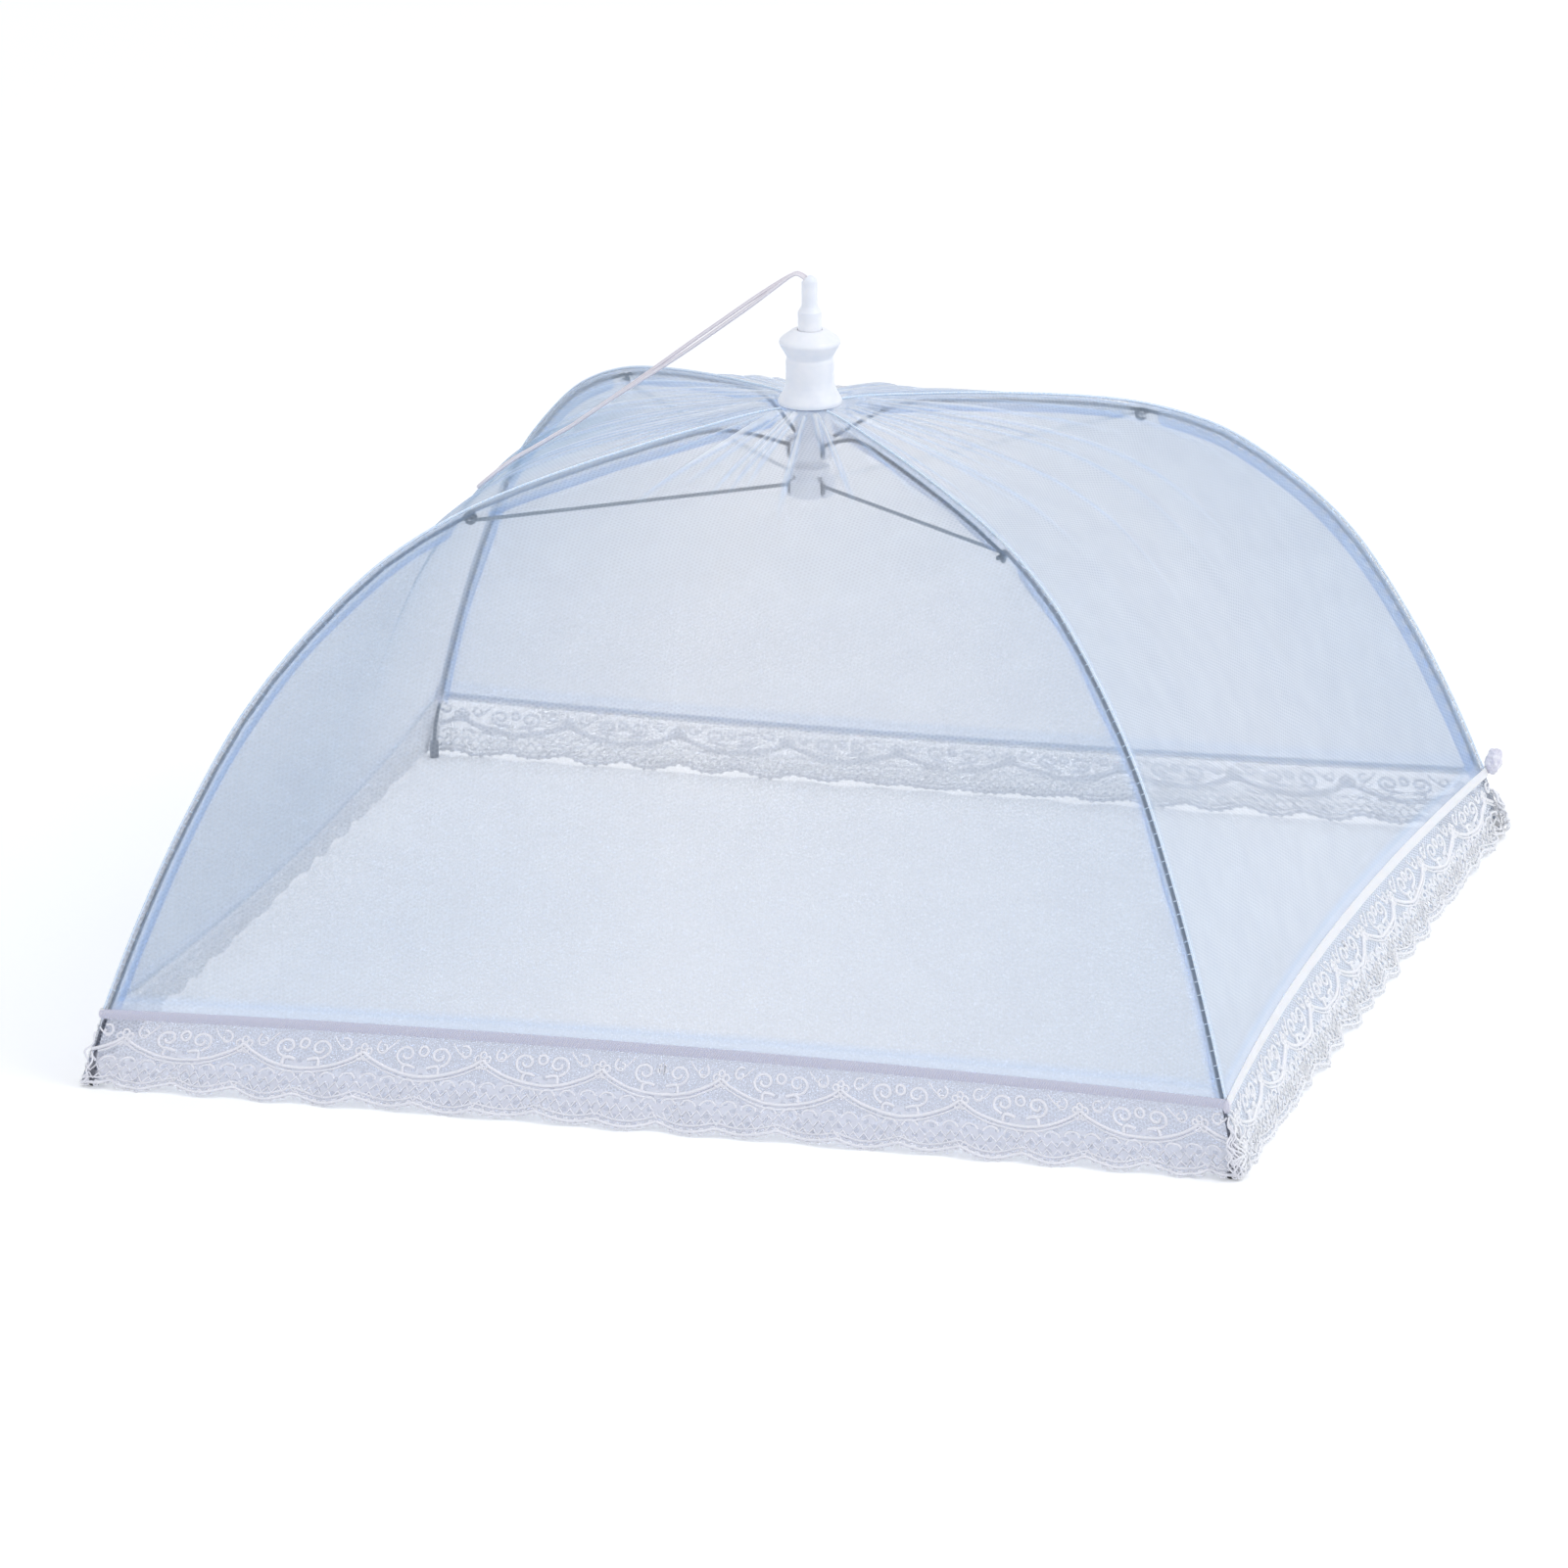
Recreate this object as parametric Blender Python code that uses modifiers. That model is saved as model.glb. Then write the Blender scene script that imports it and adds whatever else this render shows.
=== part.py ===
"""Square folding food cover of fine net, modelled open.

Four sprung wire ribs hinge on a tie wire in a notch under the crown cap, and four struts join
their coils to a runner whose pull rod comes up through the cap. The net is cut in four panels,
each in two halves that meet on its fold line, with braid and lace along the hem.

+Z is up and the table is z = 0. The axis of the crown is the Z axis, and the hem's sides run
along X and Y. A place on a rib or strut is (out, side, height) in that rib's own upright plane.
"""

import bmesh
import bpy
from math import acos, asin, atan2, cos, hypot, pi, radians, sin, sqrt, tan
from mathutils import Matrix, Vector

mm = 0.001

# Clearances and stock
gap = 0.3 * mm
overrun = 1.0 * mm
net_thickness = 0.5 * mm
wire_diameter = 1.5 * mm
tie_wire_diameter = 0.8 * mm
wire_radius = wire_diameter / 2
tie_wire_radius = tie_wire_diameter / 2

# The open cover
hem_side = 430 * mm
crown_rise = 192.5 * mm
lace_drop = 27 * mm
half_side = hem_side / 2
half_diagonal = half_side * sqrt(2)
crown_height = lace_drop + crown_rise

# The line of the net over a rib: shares of the half diagonal and of the crown's rise
ridge_line_shares = (
    (0.000, 1.000),
    (0.045, 1.000),
    (0.164, 0.984),
    (0.296, 0.956),
    (0.418, 0.921),
    (0.483, 0.895),
    (0.592, 0.826),
    (0.700, 0.708),
    (0.796, 0.562),
    (0.888, 0.350),
    (0.954, 0.158),
    (1.000, 0.000),
)

# Panels of net
hem_bow = 10 * mm
panel_sag = 2 * mm
bow_power = 1.5
net_to_wire = 1.3 * mm
flat_from_radius = 30 * mm
panel_rows = 18
panel_columns = 5

# Lace and braid
lace_foot = 7 * mm
lace_wave = 1.5 * mm
lace_waves = 4.5
lace_columns = 15
lace_rows = 2
braid_width = 3.6 * mm
braid_thickness = 0.8 * mm
braid_columns = 10
braid_rows = 2

# Hinges of the linkage
pivot_radius = 8 * mm
pivot_rise = 7.5 * mm
joint_share = 0.483
eye_radius = 1.5 * mm
eye_arc = radians(242)
rib_rise_tilt = radians(22)
coil_radius = 1.85 * mm
coil_shift = wire_diameter + 1.5 * gap
strut_side = 3.0 * mm
folded_tip_radius = 13 * mm
tip_out = 4 * mm
tip_radius = half_diagonal + tip_out
tip_cap_radius = 1.8 * mm
tip_cap_height = 7 * mm
tip_cap_floor = 1.5 * mm

# Seam casings
casing_start = 48 * mm
casing_thickness = 0.4 * mm
casing_arc = radians(180)
casing_clear_of_coil = 7 * mm
casing_clear_of_hem = 1.5 * mm

# Pull rod, runner and notch
rod_radius = 4.5 * mm
tip_rod_radius = 3.0 * mm
rod_above_crown = 50.5 * mm
rod_top = crown_height + rod_above_crown
rod_neck_length = 8.4 * mm
rod_taper_length = 2.8 * mm
collar_radius = 7.3 * mm
collar_height = 4.2 * mm
flange_radius = 9.5 * mm
flange_above_pivot = 3.3 * mm
flange_below_pivot = 3.6 * mm
flange_chamfer = 0.8 * mm
notch_wall = 0.8 * mm
shoulder_radius = 9 * mm
shoulder_thickness = 1.5 * mm
cord_hole_radius = 2.1 * mm
cord_hole_depth = 2.2 * mm

# Crown cap: heights above its foot and radii
cap_rim_radius = 12.2 * mm
cap_rim_height = 1.2 * mm
cap_body_radius = 9.15 * mm
cap_skirt_height = 9 * mm
cap_body_height = 8 * mm
cap_waist_radius = 8.7 * mm
cap_waist_height = 1.2 * mm
cap_flange_radius = 11.7 * mm
cap_flange_rise = 6.5 * mm
cap_flange_edge = 1.2 * mm
cap_crown_rise = 4.0 * mm
cap_crown_radius = 6.2 * mm
cap_bore_height = 20 * mm

# Pull cord: one string, doubled into a loop
cord_diameter = 1.5 * mm
cord_exit_out = 1.5 * mm
cord_exit_drop = 1.5 * mm
cord_steps = 74
arch_steps = 2
inner_cord_steps = 5

# Facets and points
turned_steps = 24
small_steps = 12
dome_steps = 4
ring_steps = 28
ring_sides = 6
eye_steps = 8
coil_steps = 12
rise_steps = 5
inner_rib_steps = 5
outer_rib_steps = 12
foot_steps = 3
bend_steps = 4
inner_casing_rows = 6
outer_casing_rows = 9
casing_columns = 4
measuring_steps = 40
slope_step_share = 0.0005

bore_radius = rod_radius + gap
notch_radius = bore_radius + notch_wall
edge_gap = (gap + net_thickness) / 2
wire_depth = wire_radius + net_to_wire + net_thickness / 2
cap_foot = crown_height + net_thickness / 2 + gap

corners = {"front_left": 225, "front_right": 315, "back_right": 45, "back_left": 135}
halves = (
    ("front_right", 270, 1, "front_right"),
    ("right_front", 0, -1, "front_right"),
    ("right_back", 0, 1, "back_right"),
    ("back_right", 90, -1, "back_right"),
    ("back_left", 90, 1, "back_left"),
    ("left_back", 180, -1, "back_left"),
    ("left_front", 180, 1, "front_left"),
    ("front_left", 270, -1, "front_left"),
)

for old in list(bpy.data.objects):
    bpy.data.objects.remove(old, do_unlink=True)

cover = bpy.data.collections.new("mesh_food_cover")
cutters = bpy.data.collections.new("cutters")
bpy.context.scene.collection.children.link(cover)
bpy.context.scene.collection.children.link(cutters)


def material(name, colour, roughness, metallic=0.0, alpha=1.0):
    made = bpy.data.materials.new(name)
    made.use_nodes = True
    shader = made.node_tree.nodes["Principled BSDF"]
    shader.inputs["Base Color"].default_value = (*colour, 1)
    shader.inputs["Roughness"].default_value = roughness
    shader.inputs["Metallic"].default_value = metallic
    shader.inputs["Alpha"].default_value = alpha
    return made


white_plastic = material("moulded_white_plastic", (0.88, 0.90, 0.93), 0.35)
steel = material("spring_steel_wire", (0.16, 0.20, 0.23), 0.35, metallic=1.0)
tie_steel = material("annealed_tie_wire", (0.30, 0.32, 0.34), 0.4, metallic=1.0)
dark_plastic = material("dark_tip_plastic", (0.05, 0.06, 0.06), 0.5)
blue_net = material("light_blue_net", (0.55, 0.68, 0.85), 0.8, alpha=0.5)
casing_net = material("doubled_net", (0.40, 0.56, 0.80), 0.8)
white_lace = material("white_lace", (0.88, 0.90, 0.94), 0.8, alpha=0.7)
satin = material("satin_braid", (0.90, 0.92, 0.96), 0.4)
cord_cotton = material("cotton_cord", (0.90, 0.86, 0.88), 0.8)


def link(made, finish, pivot=None):
    """Gives an object its material, puts it in the cover and hangs it on its pivot."""
    made.data.materials.append(finish)
    cover.objects.link(made)
    if pivot is not None:
        made.parent = pivot
        made.matrix_parent_inverse = Matrix.Translation(-pivot.location)
    return made


def pivot_empty(name, place):
    made = bpy.data.objects.new(name, None)
    made.location = place
    made.empty_display_size = pivot_radius
    cover.objects.link(made)
    return made


def object_from_bmesh(name, bm):
    mesh = bpy.data.meshes.new(name)
    bm.to_mesh(mesh)
    bm.free()
    return bpy.data.objects.new(name, mesh)


def cutter(made):
    made.hide_render = True
    made.display_type = "WIRE"
    cutters.objects.link(made)
    return made


def cut(target, tool):
    boolean = target.modifiers.new("cut", "BOOLEAN")
    boolean.operation = "DIFFERENCE"
    boolean.object = tool


def turned(name, profile, closed, steps=turned_steps):
    """A solid of revolution about Z. Its profile runs down the outer side."""
    bm = bmesh.new()
    places = [bm.verts.new((radius, 0, height)) for radius, height in profile]
    for first, second in zip(places, places[1:]):
        bm.edges.new((first, second))
    if closed:
        bm.edges.new((places[-1], places[0]))
    made = object_from_bmesh(name, bm)
    screw = made.modifiers.new("turn", "SCREW")
    screw.steps = steps
    screw.render_steps = steps
    screw.use_merge_vertices = True
    screw.merge_threshold = 0.01 * mm
    screw.use_smooth_shade = True
    return made


def wire(name, route, diameter, finish, pivot=None):
    """A round wire along a route of world places."""
    data = bpy.data.curves.new(name, "CURVE")
    data.dimensions = "3D"
    data.bevel_depth = diameter / 2
    data.bevel_resolution = 2
    data.use_fill_caps = True
    spline = data.splines.new("POLY")
    spline.points.add(len(route) - 1)
    for point, place in zip(spline.points, route):
        point.co = (*place, 1)
    return link(bpy.data.objects.new(name, data), finish, pivot)


def strip(name, columns, rows, place, thickness, finish, pivot):
    """A sheet of net or braid: a grid mapped by place(along, across), both 0 to 1."""
    bm = bmesh.new()
    bmesh.ops.create_grid(bm, x_segments=columns, y_segments=rows, size=0.5)
    for vert in bm.verts:
        vert.co = place(vert.co.x + 0.5, vert.co.y + 0.5)
    made = object_from_bmesh(name, bm)
    solid = made.modifiers.new("cloth", "SOLIDIFY")
    solid.thickness = thickness
    solid.offset = 0
    return link(made, finish, pivot)


def spline_height(points, value):
    """Height of the smooth line through points, each (radius, height), at a radius."""
    last = len(points) - 1

    def chord(index):
        (r0, z0), (r1, z1) = points[index], points[index + 1]
        return (z1 - z0) / (r1 - r0)

    def slope(index):
        if index == 0:
            return chord(0)
        if index == last:
            return chord(last - 1)
        before, after = chord(index - 1), chord(index)
        return 0 if before * after <= 0 else 2 * before * after / (before + after)

    index = max(k for k in range(last) if k == 0 or points[k][0] <= value)
    (r0, z0), (r1, z1) = points[index], points[index + 1]
    span = r1 - r0
    s = (value - r0) / span
    return (
        z0 * (2 * s**3 - 3 * s**2 + 1)
        + span * slope(index) * (s**3 - 2 * s**2 + s)
        + z1 * (3 * s**2 - 2 * s**3)
        + span * slope(index + 1) * (s**3 - s**2)
    )


ridge_line = [
    (out * half_diagonal, lace_drop + rise * crown_rise) for out, rise in ridge_line_shares
]


def ridge_height(radius):
    return spline_height(ridge_line, radius)


def ridge_slope(radius):
    step = half_diagonal * slope_step_share
    low, high = max(radius - step, 0), min(radius + step, half_diagonal)
    return (ridge_height(high) - ridge_height(low)) / (high - low)


def below_ridge(radius, depth):
    """(out, height) of the place that lies square below the ridge line at a radius."""
    tilt = atan2(ridge_slope(radius), 1)
    return radius + depth * sin(tilt), ridge_height(radius) - depth * cos(tilt)


def even_radii(start, end, count):
    """Radii that part the ridge line from start to end in count equal lengths."""
    fine = measuring_steps * count
    radii = [start + (end - start) * k / fine for k in range(fine + 1)]
    lengths = [0.0]
    for near, far in zip(radii, radii[1:]):
        lengths.append(lengths[-1] + hypot(far - near, ridge_height(far) - ridge_height(near)))
    wanted = [lengths[-1] * k / count for k in range(count + 1)]
    return [radii[min(range(fine + 1), key=lambda k: abs(lengths[k] - w))] for w in wanted]


# The linkage: each rib's and strut's pivots lie level above and below the joint between them,
# so the runner stays on the axis while a strut turns by twice its rib's angle.
joint_on_ridge = joint_share * half_diagonal
joint_tilt = atan2(ridge_slope(joint_on_ridge), 1)
joint = below_ridge(joint_on_ridge, wire_depth + coil_radius)
rib_pivot = (pivot_radius, joint[1] + pivot_rise)
strut_pivot = (pivot_radius, joint[1] - pivot_rise)
arm_length = hypot(joint[0] - pivot_radius, pivot_rise)
arm_angle = acos(pivot_rise / arm_length)
fold_reach = hypot(tip_radius - pivot_radius, rib_pivot[1])
fold_angle = atan2(tip_radius - pivot_radius, rib_pivot[1]) - asin(
    (folded_tip_radius - pivot_radius) / fold_reach
)
runner_travel = 2 * arm_length * (cos(arm_angle - fold_angle) - cos(arm_angle))


def in_plane(corner, out, side, height):
    """World place of (out, side, height) in a rib's upright plane."""
    turn = radians(corners[corner])
    return Vector(
        (
            out * cos(turn) - side * sin(turn),
            out * sin(turn) + side * cos(turn),
            height,
        )
    )


def eye(centre, leave_tilt):
    """An open eye about a pivot that ends heading outwards at a tilt."""
    end = pi / 2 + leave_tilt
    angles = [end + eye_arc * (1 - k / eye_steps) for k in range(eye_steps + 1)]
    return [
        (centre[0] + eye_radius * cos(angle), centre[1] + eye_radius * sin(angle))
        for angle in angles
    ]


def smooth_run(first, first_tilt, last, last_tilt, count):
    """Places strictly between two ends on a cubic that keeps the tilt at both."""
    pull = hypot(last[0] - first[0], last[1] - first[1])
    places = []
    for k in range(1, count):
        s = k / count
        start_pull = pull * (s**3 - 2 * s**2 + s)
        end_pull = pull * (s**3 - s**2)
        rest = 3 * s**2 - 2 * s**3
        places.append(
            tuple(
                first[axis] * (1 - rest)
                + last[axis] * rest
                + (cos, sin)[axis](first_tilt) * start_pull
                + (cos, sin)[axis](last_tilt) * end_pull
                for axis in (0, 1)
            )
        )
    return places


def rib_route():
    """(out, side, height) along a rib: eye, rise to the net, coil, bend down to the table.

    The coil's turn steps sideways, so the stretch before it runs to one side of the seam.
    """
    route = [(out, 0, height) for out, height in eye(rib_pivot, rib_rise_tilt)]
    casing_place = below_ridge(casing_start, wire_depth)
    casing_tilt = atan2(ridge_slope(casing_start), 1)
    eye_end = (route[-1][0], route[-1][2])
    rise = smooth_run(eye_end, rib_rise_tilt, casing_place, casing_tilt, rise_steps)
    for out, height in rise:
        share = (out - eye_end[0]) / (casing_place[0] - eye_end[0])
        route.append((out, -coil_shift * share, height))
    for radius in even_radii(casing_start, joint_on_ridge, inner_rib_steps):
        out, height = below_ridge(radius, wire_depth)
        route.append((out, -coil_shift, height))
    for k in range(1, coil_steps):
        angle = pi / 2 + joint_tilt - 2 * pi * k / coil_steps
        route.append(
            (
                joint[0] + coil_radius * cos(angle),
                -coil_shift * (1 - k / coil_steps),
                joint[1] + coil_radius * sin(angle),
            )
        )
    outer = [
        below_ridge(radius, wire_depth)
        for radius in even_radii(joint_on_ridge, half_diagonal, outer_rib_steps)
    ]
    foot = (tip_radius, tip_cap_floor + gap)
    above_foot = (tip_radius, tip_cap_height)
    hem_tilt = atan2(ridge_slope(half_diagonal), 1)
    outer += smooth_run(outer[-1], hem_tilt, above_foot, -pi / 2, foot_steps)
    route += [(out, 0, height) for out, height in outer + [above_foot, foot]]
    return route


def strut_route():
    """(out, side, height) along a strut: eye, straight run, pin through the coil, hooked end."""
    coil_middle = -coil_shift / 2
    start_side = coil_middle + strut_side
    end_side = coil_middle - strut_side
    leave = atan2(joint[1] - strut_pivot[1] - eye_radius, joint[0] - strut_pivot[0])
    route = [(out, 0, height) for out, height in eye(strut_pivot, leave)]
    eye_end = route[-1]
    near_joint = joint[0] - 4 * coil_radius
    slope = (joint[1] - eye_end[2]) / (joint[0] - eye_end[0])
    for k in range(1, bend_steps + 1):
        share = k / bend_steps
        out = eye_end[0] + (near_joint - eye_end[0]) * share
        route.append((out, start_side * share, eye_end[2] + slope * (out - eye_end[0])))
    bend = wire_diameter
    for k in range(bend_steps + 1):
        angle = pi / 2 * k / bend_steps
        out = joint[0] - bend + bend * sin(angle)
        route.append((out, start_side - bend + bend * cos(angle), joint[1]))
    route.append((joint[0], coil_middle, joint[1]))
    for k in range(bend_steps):
        angle = pi / 2 * k / (bend_steps - 1)
        out = joint[0] + bend * (1 - cos(angle))
        route.append((out, end_side + bend - bend * sin(angle), joint[1]))
    return route


def panel_place(middle, hand):
    """Maps (along the ridge, across from fold line to rib) to the half panel on one hand."""
    inner_radius = notch_radius + gap
    radii = even_radii(inner_radius, half_diagonal, panel_rows)

    def place(along, across):
        row = min(int(along * panel_rows), panel_rows - 1)
        radius = radii[row] + (radii[row + 1] - radii[row]) * (along * panel_rows - row)
        height = ridge_height(radius)
        flatness = min(1, max(0, (radius - inner_radius) / (flat_from_radius - inner_radius)))
        turn_low = asin(gap / 2 / radius)
        turn_high = pi / 4 - asin(edge_gap / radius)
        turn = atan2(tan(turn_low) + (tan(turn_high) - tan(turn_low)) * across, 1)
        flat = cos(pi / 4) / cos(turn)
        reach = radius * (1 + (flat - 1) * flatness)
        hang = (1 - tan(turn) ** 2) / cos(turn)
        share = (radius / half_diagonal) ** bow_power
        tilt = atan2(-ridge_slope(radius) * sqrt(2), 1)
        sag = 4 * panel_sag * share * (1 - share)
        bow = hem_bow * share
        reach -= (sag * sin(tilt) + bow) * hang
        height -= sag * cos(tilt) * hang
        angle = radians(middle) + hand * turn
        return Vector((reach * cos(angle), reach * sin(angle), height))

    return place


def hem_side_place(middle, hand, along, line, thickness):
    """Frame beside the hem for a strip whose line at the corner is that far from the axis.

    along is 0 at the fold line and 1 at the corner, where the strip stops short of its neighbour.
    """
    low = gap / 2
    high = line - (gap + thickness) / sqrt(2)
    out = Vector((cos(radians(middle)), sin(radians(middle)), 0))
    sideways = Vector((-out.y, out.x, 0)) * hand * (low + (high - low) * along)
    return out, sideways, hem_bow * (1 - along**2)


def lace_place(middle, hand):
    top = lace_drop - gap - net_thickness / 2
    foot = gap + net_thickness / 2

    def place(along, down):
        line = half_side + lace_foot * down
        out, sideways, bow = hem_side_place(middle, hand, along, line, net_thickness)
        wave = lace_wave * down * (1 - along) * (1 + cos(2 * pi * lace_waves * along)) / 2
        outward = line - bow * (1 - down) - wave
        return out * outward + sideways + Vector((0, 0, top + (foot - top) * down))

    return place


def braid_place(middle, hand):
    """The braid's upper half leans with the net above the hem and its lower half with the lace."""
    off = net_thickness / 2 + gap + braid_thickness / 2
    net_lean = atan2(cos(pi / 4), -ridge_slope(half_diagonal))
    corner_lean = atan2(lace_foot, lace_drop)
    middle_lean = atan2(lace_foot + hem_bow, lace_drop)

    def place(along, down):
        drop = (down - 0.5) * braid_width
        lace_lean = corner_lean + (middle_lean - corner_lean) * (1 - along**2)
        lean = net_lean if down < 0.5 else lace_lean
        line = half_side + off / cos(lace_lean) + drop * sin(lean)
        out, sideways, bow = hem_side_place(middle, hand, along, line, braid_thickness)
        return out * (line - bow) + sideways + Vector((0, 0, lace_drop - drop * cos(lean)))

    return place


def casing(name, corner, start, end, side, rows, pivot):
    """Half round sleeve of doubled net under a stretch of a rib's wire."""
    radius = wire_radius + gap + casing_thickness / 2
    radii = even_radii(start, end, rows)
    bm = bmesh.new()
    bmesh.ops.create_grid(bm, x_segments=rows, y_segments=casing_columns, size=0.5)
    for vert in bm.verts:
        on_ridge = radii[round((vert.co.x + 0.5) * rows)]
        angle = casing_arc * vert.co.y
        out, height = below_ridge(on_ridge, wire_depth + radius * cos(angle))
        vert.co = in_plane(corner, out, side + radius * sin(angle), height)
    made = object_from_bmesh(name, bm)
    solid = made.modifiers.new("cloth", "SOLIDIFY")
    solid.thickness = casing_thickness
    solid.offset = 0
    return link(made, casing_net, pivot)


def slot_cutter(name, low, high):
    """Four upright slots, one in each rib plane, outside the core that the rod slides in."""
    width = wire_diameter + 2 * gap
    inner = pivot_radius - eye_radius - wire_radius - gap
    length = flange_radius + overrun - inner
    bm = bmesh.new()
    for turn in corners.values():
        place = (
            Matrix.Rotation(radians(turn), 4, "Z")
            @ Matrix.Translation((inner + length / 2, 0, (low + high) / 2))
            @ Matrix.Diagonal((length, width, high - low, 1))
        )
        bmesh.ops.create_cube(bm, size=1, matrix=place)
    return cutter(object_from_bmesh(name, bm))


def ring(name, tube_radius, height):
    bpy.ops.mesh.primitive_torus_add(
        location=(0, 0, height),
        major_segments=ring_steps,
        minor_segments=ring_sides,
        major_radius=pivot_radius,
        minor_radius=tube_radius,
    )
    made = bpy.context.object
    made.name = name
    made.data.shade_smooth()
    for home in list(made.users_collection):
        home.objects.unlink(made)
    return made


def crown_cap():
    foot = cap_foot
    skirt = foot + cap_rim_height
    body = foot + cap_skirt_height
    waist = body + cap_body_height
    flange = waist + cap_waist_height + cap_flange_rise - cap_flange_edge
    top = flange + cap_flange_edge + cap_crown_rise
    counterbore = foot + cap_bore_height
    profile = (
        (bore_radius, top),
        (cap_crown_radius, top),
        (cap_flange_radius, flange + cap_flange_edge),
        (cap_flange_radius, flange),
        (cap_waist_radius, waist + cap_waist_height),
        (cap_body_radius, waist),
        (cap_body_radius, body),
        ((cap_body_radius + cap_rim_radius) / 2 - gap, (body + skirt) / 2),
        (cap_rim_radius, skirt),
        (cap_rim_radius, foot),
        (notch_radius + gap, foot),
        (notch_radius + gap, counterbore),
        (bore_radius, counterbore),
    )
    link(turned("crown_cap", profile, closed=True), white_plastic)


def rib_notch():
    top = cap_foot + cap_bore_height - gap
    seat = crown_height - net_thickness / 2 - gap
    flange_top = rib_pivot[1] + flange_above_pivot
    flange_foot = rib_pivot[1] - flange_below_pivot
    profile = (
        (bore_radius, top),
        (notch_radius, top),
        (notch_radius, seat),
        (shoulder_radius, seat),
        (shoulder_radius, seat - shoulder_thickness),
        (notch_radius, seat - 2 * shoulder_thickness),
        (notch_radius, flange_top + 2 * flange_chamfer),
        (flange_radius, flange_top),
        (flange_radius, flange_foot + flange_chamfer),
        (flange_radius - flange_chamfer, flange_foot),
        (bore_radius, flange_foot),
    )
    made = turned("rib_notch", profile, closed=True)
    low, high = flange_foot - overrun, flange_top + 2 * flange_chamfer
    cut(made, slot_cutter("rib_slots", low, high))
    cut(made, cutter(ring("rib_wire_tunnel", tie_wire_radius + gap, rib_pivot[1])))
    link(made, white_plastic)
    link(ring("rib_tie_wire", tie_wire_radius, rib_pivot[1]), tie_steel)


def runner(pivot):
    """Pull rod, collar and slotted strut flange in one moulding, with the cord's slanting hole."""
    neck_foot = rod_top - tip_rod_radius - rod_neck_length
    flange_top = strut_pivot[1] + flange_above_pivot
    flange_foot = strut_pivot[1] - flange_below_pivot
    collar_top = flange_top + collar_height
    profile = [
        (
            tip_rod_radius * sin(pi / 2 * k / dome_steps),
            rod_top - tip_rod_radius * (1 - cos(pi / 2 * k / dome_steps)),
        )
        for k in range(dome_steps + 1)
    ]
    profile += [
        (tip_rod_radius, neck_foot),
        (rod_radius, neck_foot - rod_taper_length),
        (rod_radius, collar_top),
        (collar_radius, collar_top),
        (collar_radius, flange_top),
        (flange_radius, flange_top - flange_chamfer),
        (flange_radius, flange_foot + flange_chamfer),
        (flange_radius - flange_chamfer, flange_foot),
        (0, flange_foot),
    ]
    made = turned("runner", profile, closed=False)
    low = flange_foot - overrun
    cut(made, slot_cutter("strut_slots", low, flange_top + collar_height / 2))
    cut(made, cutter(ring("strut_wire_tunnel", tie_wire_radius + gap, strut_pivot[1])))
    hole_length = 4 * tip_rod_radius
    bm = bmesh.new()
    bmesh.ops.create_cone(
        bm,
        cap_ends=True,
        segments=small_steps,
        radius1=cord_hole_radius,
        radius2=cord_hole_radius,
        depth=hole_length,
        matrix=Matrix.Translation(cord_exit)
        @ Matrix.Rotation(-pi / 4, 4, "Y")
        @ Matrix.Translation((0, 0, hole_length / 2 - cord_hole_depth)),
    )
    cut(made, cutter(object_from_bmesh("cord_hole", bm)))
    link(made, white_plastic, pivot)
    link(ring("strut_tie_wire", tie_wire_radius, strut_pivot[1]), tie_steel, pivot)


def tip_cap(corner, pivot):
    """Small cap on a rib's end, open above for the wire and flat on the table."""
    bore = wire_radius + gap
    rounding = tip_cap_radius / 4
    profile = (
        (0, tip_cap_floor),
        (bore, tip_cap_floor),
        (bore, tip_cap_height),
        (tip_cap_radius - rounding, tip_cap_height),
        (tip_cap_radius, tip_cap_height - rounding),
        (tip_cap_radius, 0),
        (0, 0),
    )
    made = turned("rib_tip_cap_" + corner, profile, closed=False, steps=small_steps)
    made.location = in_plane(corner, tip_radius, 0, 0)
    return link(made, dark_plastic, pivot)


# The cord leaves the rod's tip up and to the left, arches over and lies down the left panel.
# It is one string, out on one side of this line and back on the other. The arch is measured from
# the rod's top, and the rest in shares of the half side (across) and of the crown's rise (up).
cord_exit = Vector((-cord_exit_out, 0, rod_top - cord_exit_drop))
cord_arch = (
    (-0.3 * mm, 0.0 * mm, -2.7 * mm, 1.05 * mm),
    (-2.2 * mm, 0.0 * mm, -0.8 * mm, 1.05 * mm),
    (-4.7 * mm, 0.0 * mm, 0.25 * mm, 1.05 * mm),
    (-7.2 * mm, 0.0 * mm, -0.7 * mm, 1.05 * mm),
    (-12.0 * mm, 0.1 * mm, -4.1 * mm, 1.05 * mm),
)
cord_fall_shares = (
    (-0.1023, 0.0033, 1.2016),
    (-0.1581, 0.0084, 1.1538),
    (-0.2186, 0.0144, 1.1023),
    (-0.2791, 0.0209, 1.0514),
    (-0.3349, 0.0270, 1.0057),
    (-0.3814, 0.0316, 0.9673),
    (-0.4186, 0.0344, 0.9361),
    (-0.4512, 0.0358, 0.9096),
    (-0.4837, 0.0358, 0.8868),
    (-0.5163, 0.0340, 0.8634),
    (-0.5488, 0.0312, 0.8410),
    (-0.5767, 0.0279, 0.8182),
    (-0.5953, 0.0251, 0.8005),
    (-0.6121, 0.0233, 0.7844),
    (-0.6186, 0.0223, 0.7771),
)
cord_fall_spreads = [
    spread * mm
    for spread in (1.1, 1.15, 1.25, 1.2, 1.1, 1.05, 1.05, 1.05, 1.05, 1.1, 1.5, 2.6, 3.2, 2.2, 0)
]


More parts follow.
